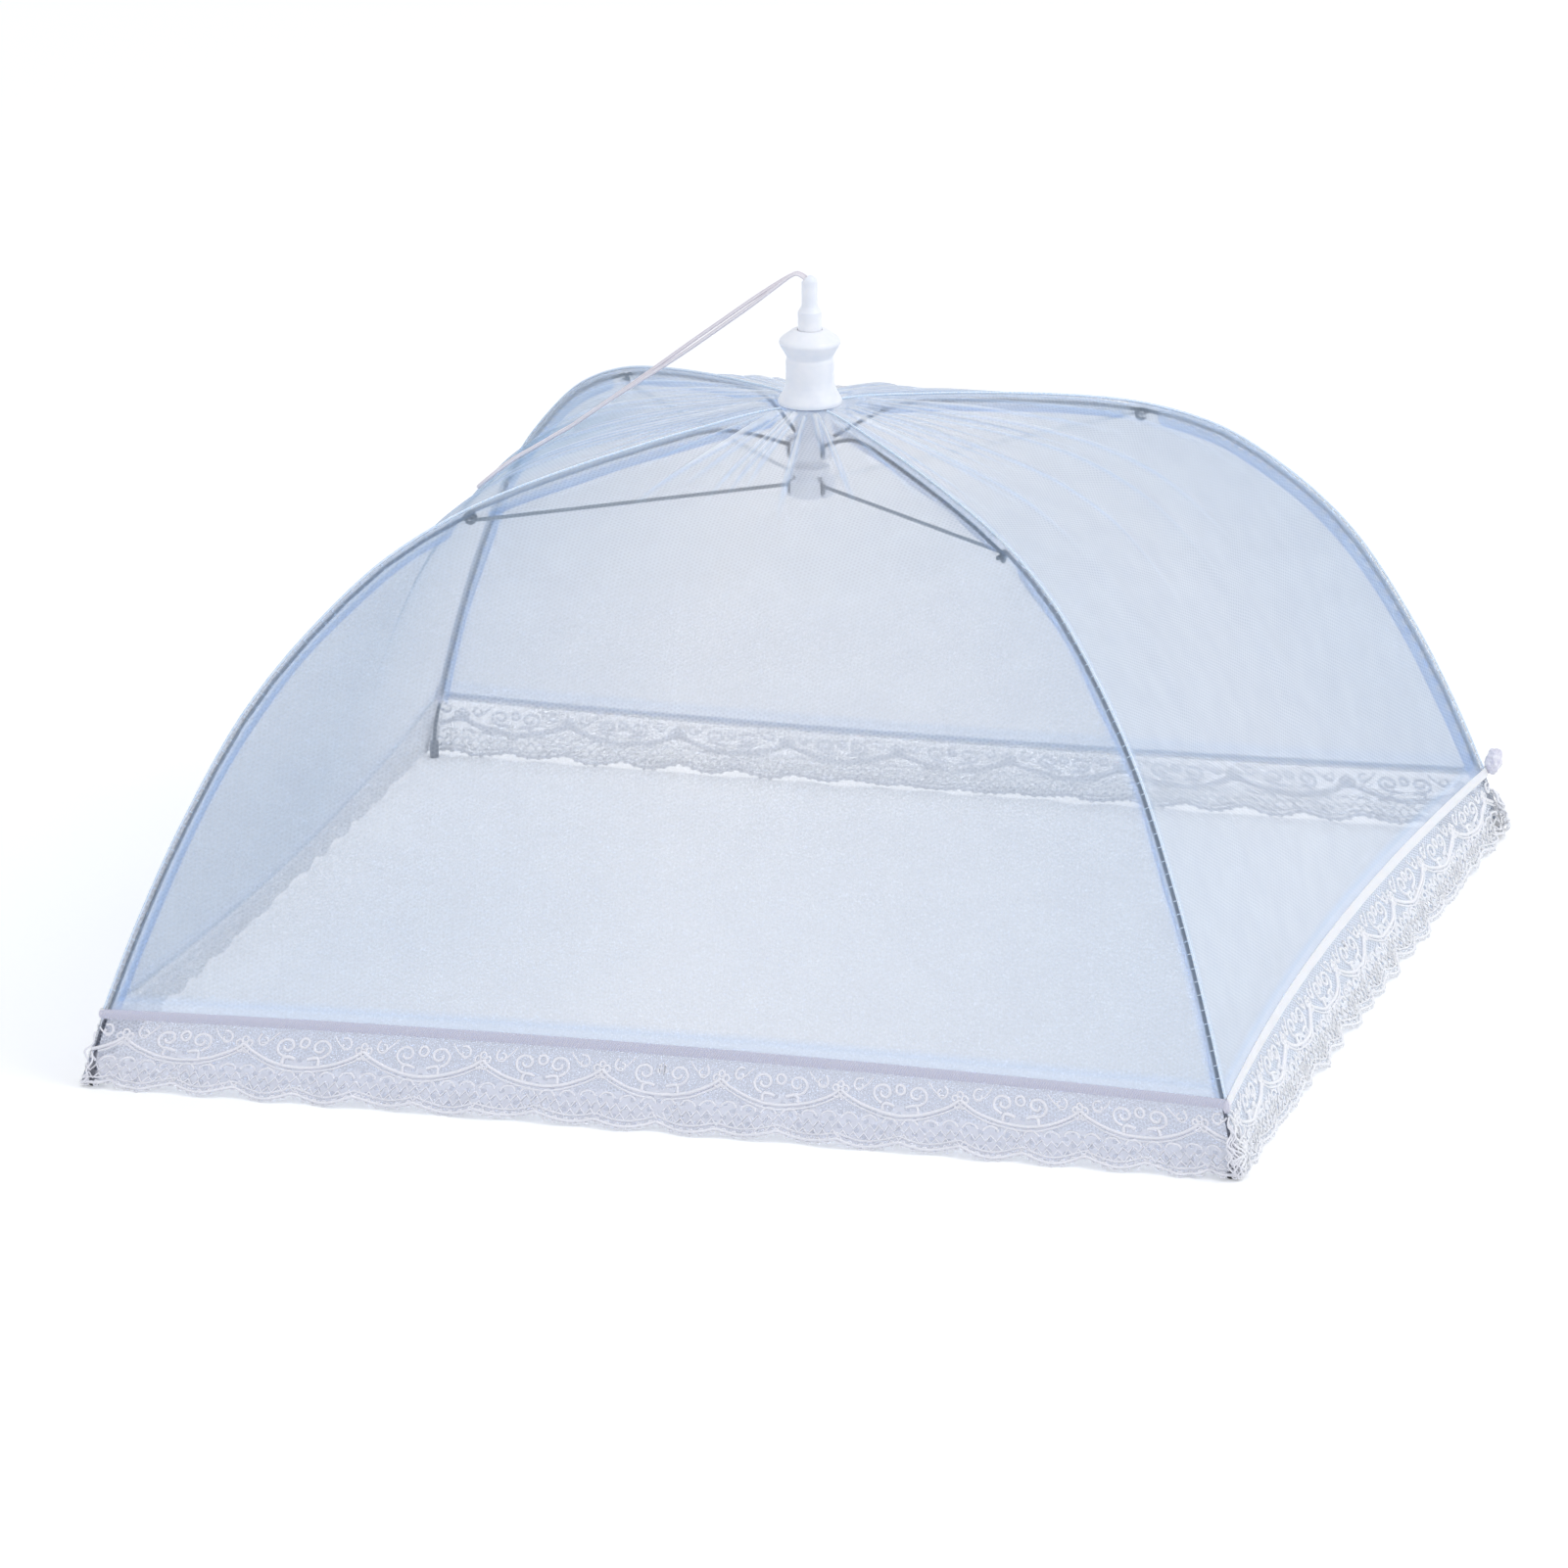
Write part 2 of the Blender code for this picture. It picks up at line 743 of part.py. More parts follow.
# The two strands lie side by side at both ends and turn one over the other between them.
cord_twists = [
    radians(turn) for turn in (0, 0, 0, 0, 25, 70, 80, 65, 40, 15, 0, 0, 0, 0, 0, 0, 0, 0, 0, 0)
]


def cord_route():
    line = [(Vector((x, y, rod_top + z)), spread) for x, y, z, spread in cord_arch]
    for (across, along, up), spread in zip(cord_fall_shares, cord_fall_spreads):
        place = Vector((across * half_side, along * half_side, lace_drop + up * crown_rise))
        line.append((place, spread))
    apart = [
        Vector((0, cos(twist), sin(twist))) * spread
        for (_, spread), twist in zip(line, cord_twists)
    ]
    out = [place + offset for (place, _), offset in zip(line, apart)]
    back = [place - offset for (place, _), offset in zip(line, apart)]
    return out + back[-2::-1]


def smooth_through(route, count):
    """Evenly spaced places along the smooth curve through a route's points."""
    ends = [2 * route[0] - route[1]] + route + [2 * route[-1] - route[-2]]
    fine = []
    steps = 16
    for before, first, second, after in zip(ends, ends[1:], ends[2:], ends[3:]):
        for k in range(steps):
            s = k / steps
            fine.append(
                (
                    2 * first
                    + (second - before) * s
                    + (2 * before - 5 * first + 4 * second - after) * s**2
                    + (3 * first - before - 3 * second + after) * s**3
                )
                / 2
            )
    fine.append(route[-1])
    lengths = [0.0]
    for near, far in zip(fine, fine[1:]):
        lengths.append(lengths[-1] + (far - near).length)
    places = []
    index = 0
    for k in range(count + 1):
        wanted = lengths[-1] * k / count
        while index < len(fine) - 2 and lengths[index + 1] < wanted:
            index += 1
        share = (wanted - lengths[index]) / (lengths[index + 1] - lengths[index])
        places.append(fine[index].lerp(fine[index + 1], share))
    return places


def pull_cord(pivot):
    """The loop that lies outside, and its two ends in the rod's tip, which part at the arch."""
    route = cord_route()
    fine = smooth_through(route[arch_steps:-arch_steps], 3 * cord_steps)
    outer = fine[:3] + fine[3:-3:3] + fine[-3:]
    wire("pull_cord", outer, cord_diameter, cord_cotton)
    for name, stretch in (
        ("cord_start", route[: arch_steps + 1]),
        ("cord_finish", route[-arch_steps - 1 :][::-1]),
    ):
        places = smooth_through(stretch, inner_cord_steps)
        heading = (places[-1] - places[-2]).normalized()
        places[-1] -= heading * 1.5 * gap
        wire(name, places, cord_diameter, cord_cotton, pivot)


def build():
    front_left = None
    for corner in corners:
        rib_place = in_plane(corner, rib_pivot[0], 0, rib_pivot[1])
        joint_place = in_plane(corner, joint[0], 0, joint[1])
        fold = pivot_empty("fold_" + corner, rib_place)
        elbow = pivot_empty("elbow_" + corner, joint_place)
        elbow.parent = fold
        elbow.matrix_parent_inverse = Matrix.Translation(-fold.location)
        wire(
            "rib_" + corner,
            [in_plane(corner, *place) for place in rib_route()],
            wire_diameter,
            steel,
            fold,
        )
        wire(
            "strut_" + corner,
            [in_plane(corner, *place) for place in strut_route()],
            wire_diameter,
            steel,
            elbow,
        )
        coil_edge = joint_on_ridge - casing_clear_of_coil
        casing(
            "casing_inner_" + corner,
            corner,
            casing_start,
            coil_edge,
            -coil_shift,
            inner_casing_rows,
            fold,
        )
        coil_edge = joint_on_ridge + casing_clear_of_coil
        hem_edge = half_diagonal - casing_clear_of_hem
        casing("casing_outer_" + corner, corner, coil_edge, hem_edge, 0, outer_casing_rows, fold)
        tip_cap(corner, fold)
        for name, middle, hand, home in halves:
            if home != corner:
                continue
            strip(
                "panel_" + name,
                panel_rows,
                panel_columns,
                panel_place(middle, hand),
                net_thickness,
                blue_net,
                fold,
            )
            strip(
                "lace_" + name,
                lace_columns,
                lace_rows,
                lace_place(middle, hand),
                net_thickness,
                white_lace,
                fold,
            )
            strip(
                "braid_" + name,
                braid_columns,
                braid_rows,
                braid_place(middle, hand),
                braid_thickness,
                satin,
                fold,
            )
        if corner == "front_left":
            front_left = elbow
    crown_cap()
    rib_notch()
    slide = pivot_empty(
        "runner_pivot", in_plane("front_left", strut_pivot[0], 0, strut_pivot[1])
    )
    slide.parent = front_left
    slide.matrix_parent_inverse = Matrix.Translation(-front_left.location)
    runner(slide)
    pull_cord(pivot_empty("drawn_cord_slide", cord_exit))


build()
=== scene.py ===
from math import atan, atan2, cos, degrees, exp, hypot, pi, radians, sin, sqrt, tan
from random import Random

import bmesh
import bpy
from mathutils import Matrix, Vector, noise


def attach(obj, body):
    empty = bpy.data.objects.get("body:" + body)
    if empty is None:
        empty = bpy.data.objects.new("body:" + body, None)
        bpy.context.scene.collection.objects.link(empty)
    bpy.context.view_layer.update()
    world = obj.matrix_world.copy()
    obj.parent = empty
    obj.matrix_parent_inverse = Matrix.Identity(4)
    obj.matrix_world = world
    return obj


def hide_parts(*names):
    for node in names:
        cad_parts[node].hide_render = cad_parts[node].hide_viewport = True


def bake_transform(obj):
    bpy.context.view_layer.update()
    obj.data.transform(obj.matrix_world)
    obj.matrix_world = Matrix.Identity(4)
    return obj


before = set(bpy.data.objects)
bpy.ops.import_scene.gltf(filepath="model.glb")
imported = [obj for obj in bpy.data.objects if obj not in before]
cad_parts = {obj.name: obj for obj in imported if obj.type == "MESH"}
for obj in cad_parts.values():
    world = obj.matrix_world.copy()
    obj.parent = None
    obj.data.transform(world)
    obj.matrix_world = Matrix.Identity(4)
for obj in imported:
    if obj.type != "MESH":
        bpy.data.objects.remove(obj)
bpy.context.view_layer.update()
mm = 0.001

# Sizes of the open cover, as the frame has them

half_side = 215 * mm
half_diagonal = half_side * sqrt(2)
crown_rise = 192.5 * mm
lace_drop = 27 * mm
ridge_line = [
    (out * half_diagonal, lace_drop + rise * crown_rise)
    for out, rise in (
        (0.000, 1.000),
        (0.045, 1.000),
        (0.164, 0.984),
        (0.296, 0.956),
        (0.418, 0.921),
        (0.483, 0.895),
        (0.592, 0.826),
        (0.700, 0.708),
        (0.796, 0.562),
        (0.888, 0.350),
        (0.954, 0.158),
        (1.000, 0.000),
    )
]
net_foot = 5.9 * mm
flat_from = 30 * mm
hem_bow = 10 * mm
panel_sag = 2 * mm
joint_out = 0.483 * half_diagonal
lace_foot = 7 * mm
lace_slant = 27.6 * mm
braid_width = 3.6 * mm
seam_depth = 7 * mm
coil_clearance = 7 * mm
wire_depth = 2.3 * mm
inner_wire_side = -1.95 * mm
motif = 2 * half_side / 9.5

corners = {"front_left": 225, "front_right": 315, "back_right": 45, "back_left": 135}
panels_at = {
    "front_left": ("left_front", "front_left"),
    "front_right": ("front_right", "right_front"),
    "back_right": ("right_back", "back_right"),
    "back_left": ("back_left", "left_back"),
}


# Helpers for objects and meshes

# Edges of turned pieces that bend by more than this stay sharp
sharp_from = radians(32)


def add_object(name, data):
    """A new object of that data, linked into the scene."""
    made = bpy.data.objects.new(name, data)
    bpy.context.scene.collection.objects.link(made)
    return made


def new_piece(name, bm, finish):
    mesh = bpy.data.meshes.new(name)
    bm.to_mesh(mesh)
    bm.free()
    mesh.materials.append(finish)
    return add_object(name, mesh)


def curves_as_mesh(name, routes, width, finish, sides=1):
    """Round threads along routes of places, as one mesh. A route is (places, closed, thickness)."""
    data = bpy.data.curves.new(name + "_line", "CURVE")
    data.dimensions = "3D"
    data.bevel_depth = width / 2
    data.bevel_resolution = sides
    data.use_fill_caps = True
    for places, closed, thick in routes:
        spline = data.splines.new("POLY")
        spline.points.add(len(places) - 1)
        for point, place in zip(spline.points, places):
            point.co = (*place, 1)
            point.radius = thick
        spline.use_cyclic_u = closed
    line = add_object(name + "_line", data)
    graph = bpy.context.evaluated_depsgraph_get()
    mesh = bpy.data.meshes.new_from_object(line.evaluated_get(graph))
    bpy.data.objects.remove(line, do_unlink=True)
    bpy.data.curves.remove(data)
    mesh.name = name
    mesh.materials.clear()
    mesh.materials.append(finish)
    mesh.shade_smooth()
    return add_object(name, mesh)


def turned(name, profile, finish, steps=96):
    """A turned piece from its profile, which runs from the axis or an inner edge round and back."""
    bm = bmesh.new()
    places = [bm.verts.new((radius, 0, height)) for radius, height in profile]
    edges = [bm.edges.new(pair) for pair in zip(places, places[1:])]
    bmesh.ops.spin(
        bm, geom=places + edges, angle=2 * pi, steps=steps, axis=(0, 0, 1), cent=(0, 0, 0), use_merge=True
    )
    bmesh.ops.remove_doubles(bm, verts=bm.verts, dist=0.005 * mm)
    bmesh.ops.recalc_face_normals(bm, faces=bm.faces)
    piece = new_piece(name, bm, finish)
    piece.data.shade_smooth()
    piece.data.set_sharp_from_angle(angle=sharp_from)
    return piece


def rounded(profile, size, steps=3):
    """The profile with each inner corner rounded by about that size."""
    soft = [profile[0]]
    for before, here, after in zip(profile, profile[1:], profile[2:]):
        a, b, c = Vector(before), Vector(here), Vector(after)
        reach = min(size, (a - b).length * 0.45, (c - b).length * 0.45)
        start = b + (a - b).normalized() * reach
        end = b + (c - b).normalized() * reach
        for k in range(steps + 1):
            s = k / steps
            soft.append(tuple(start * (1 - s) ** 2 + b * 2 * s * (1 - s) + end * s**2))
    soft.append(profile[-1])
    return soft


# Camera

camera_place = Vector((1.3011, -4.7084, 1.5517))
camera_target = Vector((-0.01119, 0.0, 0.06839))
lens_data = bpy.data.cameras.new("camera")
lens_data.sensor_width = 36
lens_data.lens = 307.07
lens_data.clip_end = 60
camera = add_object("camera", lens_data)
camera.location = camera_place
sight = (camera_target - camera_place).to_track_quat("-Z", "Y").to_matrix().to_4x4()
roll = Matrix.Rotation(radians(-0.355), 4, "Z")
camera.rotation_euler = (sight @ roll).to_euler()
bpy.context.scene.camera = camera


# The net's surface


def ridge_height(radius):
    """Height of the smooth line through the points of the ridge line, at a radius."""
    last = len(ridge_line) - 1

    def chord(index):
        (r0, z0), (r1, z1) = ridge_line[index], ridge_line[index + 1]
        return (z1 - z0) / (r1 - r0)

    def slope(index):
        if index == 0:
            return chord(0)
        if index == last:
            return chord(last - 1)
        before, after = chord(index - 1), chord(index)
        return 0 if before * after <= 0 else 2 * before * after / (before + after)

    index = max(k for k in range(last) if k == 0 or ridge_line[k][0] <= radius)
    (r0, z0), (r1, z1) = ridge_line[index], ridge_line[index + 1]
    span = r1 - r0
    s = (radius - r0) / span
    return (
        z0 * (2 * s**3 - 3 * s**2 + 1)
        + span * slope(index) * (s**3 - 2 * s**2 + s)
        + z1 * (3 * s**2 - 2 * s**3)
        + span * slope(index + 1) * (s**3 - s**2)
    )


def ridge_slope(radius):
    step = 0.2 * mm
    low, high = max(radius - step, 0), min(radius + step, half_diagonal)
    return (ridge_height(high) - ridge_height(low)) / (high - low)


def even_radii(start, end, count):
    """Radii that part the ridge line from start to end in count equal lengths."""
    fine = 12 * count
    radii = [start + (end - start) * k / fine for k in range(fine + 1)]
    lengths = [0.0]
    for near, far in zip(radii, radii[1:]):
        lengths.append(lengths[-1] + hypot(far - near, ridge_height(far) - ridge_height(near)))
    wanted = [lengths[-1] * k / count for k in range(count + 1)]
    return [radii[min(range(fine + 1), key=lambda k: abs(lengths[k] - w))] for w in wanted]


def smooth_step(low, high, value):
    s = min(1, max(0, (value - low) / (high - low)))
    return s * s * (3 - 2 * s)


# Creases that run out from the crown in each panel: (azimuth from the panel's middle in degrees,
# radius where it starts, radius where it ends, height, width)
chance = Random(11)
creases = {}
for middle, count, reach in ((180, 15, 190), (270, 9, 125), (0, 12, 200), (90, 11, 190)):
    creases[middle] = [
        (
            -41 + 82 * (k + chance.uniform(0.1, 0.9)) / count,
            chance.uniform(13, 22) * mm,
            reach * chance.uniform(0.45, 1.0) * mm,
            chance.uniform(0.7, 1.7) * mm,
            chance.uniform(0.6, 1.1) * mm,
        )
        for k in range(count)
    ]
creases[270] += [(-25, 14 * mm, 120 * mm, 1.8 * mm, 0.9 * mm), (-7, 14 * mm, 105 * mm, 1.6 * mm, 0.8 * mm)]

# Broad soft folds lower down: (azimuth from the panel's middle in degrees, height and width in mm)
broad_folds = {
    180: ((-13, 2.2, 9), (22, 1.2, 16)),
    270: ((-20, 1.0, 14), (9, 1.4, 12), (27, 0.9, 9)),
    0: ((14, 1.2, 15), (-24, 1.0, 12)),
    90: ((-8, 1.3, 13), (19, 1.0, 14)),
}


def crease_at(middle, turn, radius):
    """(height, gather) of the creases and folds at a place of a panel; turn is signed."""
    height = gather = 0.0
    for azimuth, start, end, rise, width in creases[middle]:
        if not start < radius < end * 1.25:
            continue
        strength = smooth_step(start, start + 8 * mm, radius)
        strength *= 1 - smooth_step(end * 0.55, end * 1.25, radius)
        across = radius * sin(turn - radians(azimuth)) / (width * (1 + radius / (110 * mm)))
        if abs(across) < 4:
            ridge = exp(-across * across)
            height += rise * ridge * strength
            gather += ridge * strength * min(1.0, rise / (1.1 * mm))
    for azimuth, rise, width in broad_folds[middle]:
        strength = smooth_step(60 * mm, 130 * mm, radius)
        strength *= 1 - 0.5 * smooth_step(240 * mm, 304 * mm, radius)
        across = radius * sin(turn - radians(azimuth)) / (width * mm)
        height += rise * mm * exp(-across * across) * strength
    edge = 1 - smooth_step(36, 44, abs(degrees(turn)))
    return height * edge, gather * edge


def way_out(azimuth):
    """The level direction straight out from the axis at an azimuth in degrees."""
    return Vector((cos(radians(azimuth)), sin(radians(azimuth)), 0))


def net_place(middle, hand, radius, share):
    """A place on the net: share is 0 on the panel's fold line and 1 on the rib."""
    height = ridge_height(radius)
    flatness = min(1, max(0, (radius - net_foot) / (flat_from - net_foot)))
    turn = atan(share)
    flat = cos(pi / 4) / cos(turn)
    reach = radius * (1 + (flat - 1) * flatness)
    hang = (1 - share**2) / cos(turn)
    part = (radius / half_diagonal) ** 1.5
    tilt = atan2(-ridge_slope(radius) * sqrt(2), 1)
    sag = 4 * panel_sag * part * (1 - part)
    reach -= (sag * sin(tilt) + hem_bow * part) * hang
    height -= sag * cos(tilt) * hang
    angle = radians(middle) + hand * turn
    proud = crease_at(middle, hand * turn, radius)[0] * smooth_step(0, 8 * mm, half_diagonal - radius)
    out = way_out(middle)
    normal = out * sin(tilt) + Vector((0, 0, cos(tilt)))
    return Vector((reach * cos(angle), reach * sin(angle), height)) + normal * proud


def halves_of(corner):
    """The two half panels beside a rib: (middle azimuth, hand)."""
    turn = corners[corner]
    return ((turn - 45) % 360, 1), ((turn + 45) % 360, -1)


def in_plane(corner, out, side, height):
    """World place of (out, side, height) in a rib's upright plane."""
    turn = radians(corners[corner])
    return Vector((out * cos(turn) - side * sin(turn), out * sin(turn) + side * cos(turn), height))


def below_ridge(radius, depth):
    """(out, height) of the place that lies square below the ridge line at a radius."""
    tilt = atan2(ridge_slope(radius), 1)
    return radius + depth * sin(tilt), ridge_height(radius) - depth * cos(tilt)


# Painted shade on the white lace, braid and threads by the side of the cover, by the azimuth of its middle:
# 0 white, 0.5 a painted blue-grey shade, 1 a painted lavender-grey shade, as on the front, which stands in
# shade
painted_side_shade = {180: 0.0, 270: 1.0, 0: 0.5, 90: 0.0}


# Stores the painted shade of each vertex's side of the cover, for the cloth materials to read
def paint_side_shade(piece):
    sides = []
    for vert in piece.data.vertices:
        quarter = round(degrees(atan2(vert.co.y, vert.co.x)) / 90)
        sides.append(painted_side_shade[quarter * 90 % 360])
    piece.data.attributes.new("painted_side_shade", "FLOAT", "POINT").data.foreach_set("value", sides)


def follow_rib(piece):
    """Gives the cloth the painted shade of its side of the cover, and bakes its place into its mesh."""
    paint_side_shade(piece)
    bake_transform(piece)
    return piece


# Materials

# Distances between the holes of the net, of the doubled net and of the lace's ground, as drawn
net_pitch = 1.75 * mm
seam_pitch = 1.2 * mm
lace_pitch = 1.5 * mm
# Settings with which a mix node mixes colours
colours = {"data_type": "RGBA"}


def hex_colour(code):
    """Linear colour of an sRGB hex value."""
    parts = [int(code[k : k + 2], 16) / 255 for k in (0, 2, 4)]
    return tuple(p / 12.92 if p <= 0.04045 else ((p + 0.055) / 1.055) ** 2.4 for p in parts) + (1.0,)


def feed(tree, made, **inputs):
    """Sets a node's inputs, called by name or by number as n0, n1: a node or an output is linked, a
    text is a hex colour, and anything else is the value itself."""
    for key, value in inputs.items():
        socket = made.inputs[int(key[1:])] if key[1:].isdigit() else made.inputs[key.replace("_", " ")]
        if isinstance(value, bpy.types.Node):
            value = next(output for output in value.outputs if output.enabled)
        if isinstance(value, bpy.types.NodeSocket):
            tree.links.new(value, socket)
        else:
            socket.default_value = hex_colour(value) if isinstance(value, str) else value
    return made


def node(tree, kind, settings=None, stops=(), **inputs):
    """Adds a node with its settings and links. stops are a colour ramp's (position, hex colour)."""
    made = tree.nodes.new("ShaderNode" + kind)
    for key, value in (settings or {}).items():
        setattr(made, key, value)
    for number, (position, colour) in enumerate(stops):
        element = made.color_ramp.elements[number] if number < 2 else made.color_ramp.elements.new(position)
        element.position = position
        element.color = hex_colour(colour)
    return feed(tree, made, **inputs)


def finish_for(name, colour, roughness, metallic=0.0, sheen=0.0, milky=0.0, through=0.0):
    made = bpy.data.materials.new(name)
    made.use_nodes = True
    tree = made.node_tree
    shader = feed(
        tree,
        tree.nodes["Principled BSDF"],
        Base_Color=colour,
        Roughness=roughness,
        Metallic=metallic,
        Sheen_Weight=sheen,
        Subsurface_Weight=milky,
        Subsurface_Radius=(1.5 * mm, 1.7 * mm, 2.0 * mm),
        Transmission_Weight=through,
    )
    return made, tree, shader


def holes_of(tree, place, pitch):
    """Hexagonal mesh pattern, high in the holes and low on the threads, for a pitch in metres."""
    total = 0.0
    turning = 4 * pi / (pitch * sqrt(3))
    for turn in (0, 60, 120):
        way = (cos(radians(turn)) * turning, sin(radians(turn)) * turning, 0)
        along = node(tree, "VectorMath", {"operation": "DOT_PRODUCT"}, n0=place, n1=way)
        wave = node(tree, "Math", {"operation": "COSINE"}, n0=along)
        total = node(tree, "Math", {"operation": "ADD"}, n0=total, n1=wave)
    return total


def wave_across(tree, place, way, kind="COSINE"):
    """A wave across the flat cloth: way is its turning in radians for each metre along and down."""
    along = node(tree, "VectorMath", {"operation": "DOT_PRODUCT"}, n0=place, n1=(*way, 0))
    return node(tree, "Math", {"operation": kind}, n0=along)


def side_shaded_colour(tree, white, blue_grey, lavender):
    """The colour of a white cloth with the painted shade of the side of the cover that it belongs to."""
    share = node(tree, "Attribute", {"attribute_name": "painted_side_shade"}).outputs["Fac"]
    return node(tree, "ValToRGB", stops=((0.0, white), (0.5, blue_grey), (1.0, lavender)), n0=share)


def uneven_place(tree, amount):
    """The place on the flat cloth, pulled about a little, as a soft net's meshes are."""
    place = node(tree, "UVMap")
    pull = node(tree, "TexNoise", Vector=place, Scale=140.0, Detail=1.0).outputs["Color"]
    pull = node(tree, "VectorMath", {"operation": "SUBTRACT"}, n0=pull, n1=(0.5, 0.5, 0.5))
    pull = node(tree, "VectorMath", {"operation": "MULTIPLY"}, n0=pull, n1=(amount, amount, 0))
    return node(tree, "VectorMath", {"operation": "ADD"}, n0=place, n1=pull)


def net_material():
    # Polyester warp-knitted net, dyed light blue: fine hexagonal holes that let the table show, and a
    # haze of pale blue where the threads crowd. The real mesh is about 1 mm; it is drawn at 1.75 mm,
    # as coarse as it needs to be to show. Light and shade are painted on by panel: the net is painted
    # paler, greyer and more open towards the front, back and right and round the crown, and deepest
    # blue on the left.
    made, tree, shader = finish_for("light_blue_polyester_net", "5F95C4", 0.75, sheen=0.25, through=0.5)
    place = uneven_place(tree, 0.6 * mm)
    holes = holes_of(tree, place, net_pitch)
    thread = node(tree, "MapRange", Value=holes, From_Min=-0.4, From_Max=1.4, To_Min=1.0, To_Max=0.0)
    gather = node(tree, "Attribute", {"attribute_name": "gather"}).outputs["Fac"]
    painted_paleness = node(tree, "Attribute", {"attribute_name": "painted_paleness"}).outputs["Fac"]
    in_hole = node(tree, "MapRange", Value=painted_paleness, To_Min=0.53, To_Max=0.33)
    on_thread = node(tree, "MapRange", Value=painted_paleness, To_Min=0.61, To_Max=0.41)
    stopped = node(tree, "MapRange", Value=thread, To_Min=in_hole, To_Max=on_thread)
    stopped = node(tree, "MapRange", Value=gather, To_Min=stopped, To_Max=0.84)
    patches = node(tree, "TexNoise", Vector=place, Scale=55.0, Detail=2.0)
    dyed = node(tree, "ValToRGB", stops=((0.3, "5F95C4"), (0.7, "71A6D1")), n0=patches)
    painted_pale_tint = node(tree, "ValToRGB", stops=((0.3, "C8CCD7"), (0.7, "D0D3DC")), n0=patches)
    tint = node(tree, "Mix", colours, n0=painted_paleness, n6=dyed, n7=painted_pale_tint)
    # Painted shade on the flanks of the creases, which also deepens the blue of the doubled hem and rib
    # edges; the crests are painted near white, partly for the crowded threads and partly as a painted
    # highlight
    crease_flank_painted_shade = node(tree, "MapRange", Value=gather, From_Min=0.03, From_Max=0.3, To_Max=0.75)
    tint = node(tree, "Mix", colours, n0=crease_flank_painted_shade, n6=tint, n7="B2CEF4")
    crease_crest_crowd_and_highlight = node(tree, "MapRange", Value=gather, From_Min=0.35, From_Max=0.8)
    tint = node(tree, "Mix", colours, n0=crease_crest_crowd_and_highlight, n6=tint, n7="F0F5FB")
    bump = node(tree, "Bump", Height=thread, Strength=0.3, Distance=0.2 * mm)
    feed(tree, shader, Base_Color=tint, Alpha=stopped, Normal=bump)
    return made


def seam_material():
    # The same net doubled and sewn into a sleeve for the wire. From the ridge inwards: a white
    # overlocked edge, the sleeve, the white stitched line, and the seam allowance, which is of a
    # stronger blue. Bars of white thread cross the sleeve every 4.2 mm. Where the sleeve is sheer the
    # dark wire shows through it.
    made, tree, shader = finish_for("doubled_seam_net", "9CC0EA", 0.75, sheen=0.25, through=0.75)
    place = uneven_place(tree, 0.5 * mm)
    depth = node(tree, "SeparateXYZ", Vector=place).outputs["Y"]
    share = node(tree, "MapRange", Value=depth, From_Max=seam_depth)
    closed = node(tree, "Attribute", {"attribute_name": "gather"}).outputs["Fac"]
    holes = holes_of(tree, place, seam_pitch)
    mesh = node(tree, "MapRange", Value=holes, From_Min=-0.4, From_Max=1.2, To_Min=1.0, To_Max=0.0)
    sheer = (
        (0.13, "FFFFFF"), (0.20, "CFE2F7"), (0.44, "CFE2F7"), (0.50, "F8FBFE"),
        (0.58, "CFE6FC"), (0.72, "7FB2F5"), (1.0, "2F7BEA"),
    )
    crowded = (
        (0.13, "FFFFFF"), (0.22, "D5E8FB"), (0.46, "E6F2FE"), (0.56, "5C9CF0"),
        (0.70, "A9CDF8"), (1.0, "4F92EE"),
    )
    sheer = node(tree, "ValToRGB", stops=sheer, n0=share)
    crowded = node(tree, "ValToRGB", stops=crowded, n0=share)
    tint = node(tree, "Mix", colours, n0=closed, n6=sheer, n7=crowded)
    bars = wave_across(tree, place, (2 * pi / (4.2 * mm), 0))
    bars = node(tree, "MapRange", Value=bars, From_Min=0.1, From_Max=0.35)
    sleeve = node(tree, "MapRange", Value=share, From_Min=0.60, From_Max=0.66, To_Min=0.9, To_Max=0.0)
    bars = node(tree, "Math", {"operation": "MULTIPLY"}, n0=bars, n1=sleeve)
    tint = node(tree, "Mix", colours, n0=bars, n6=tint, n7="FBFDFF")
    stopped = (
        (0.13, "E6E6E6"), (0.20, "4C4C4C"), (0.44, "4C4C4C"), (0.50, "F0F0F0"),
        (0.60, "E0E0E0"), (0.68, "D8D8D8"), (1.0, "C8C8C8"),
    )
    stopped = node(tree, "ValToRGB", stops=stopped, n0=share)
    stopped = node(tree, "Mix", colours, n0=closed, n6=stopped, n7="E4E4E4")
    holed = node(tree, "MapRange", Value=mesh, To_Min=0.78)
    stopped = node(tree, "Math", {"operation": "MULTIPLY"}, n0=stopped, n1=holed)
    bump = node(tree, "Bump", Height=mesh, Strength=0.3, Distance=0.2 * mm)
    feed(tree, shader, Base_Color=tint, Alpha=stopped, Normal=bump)
    return made


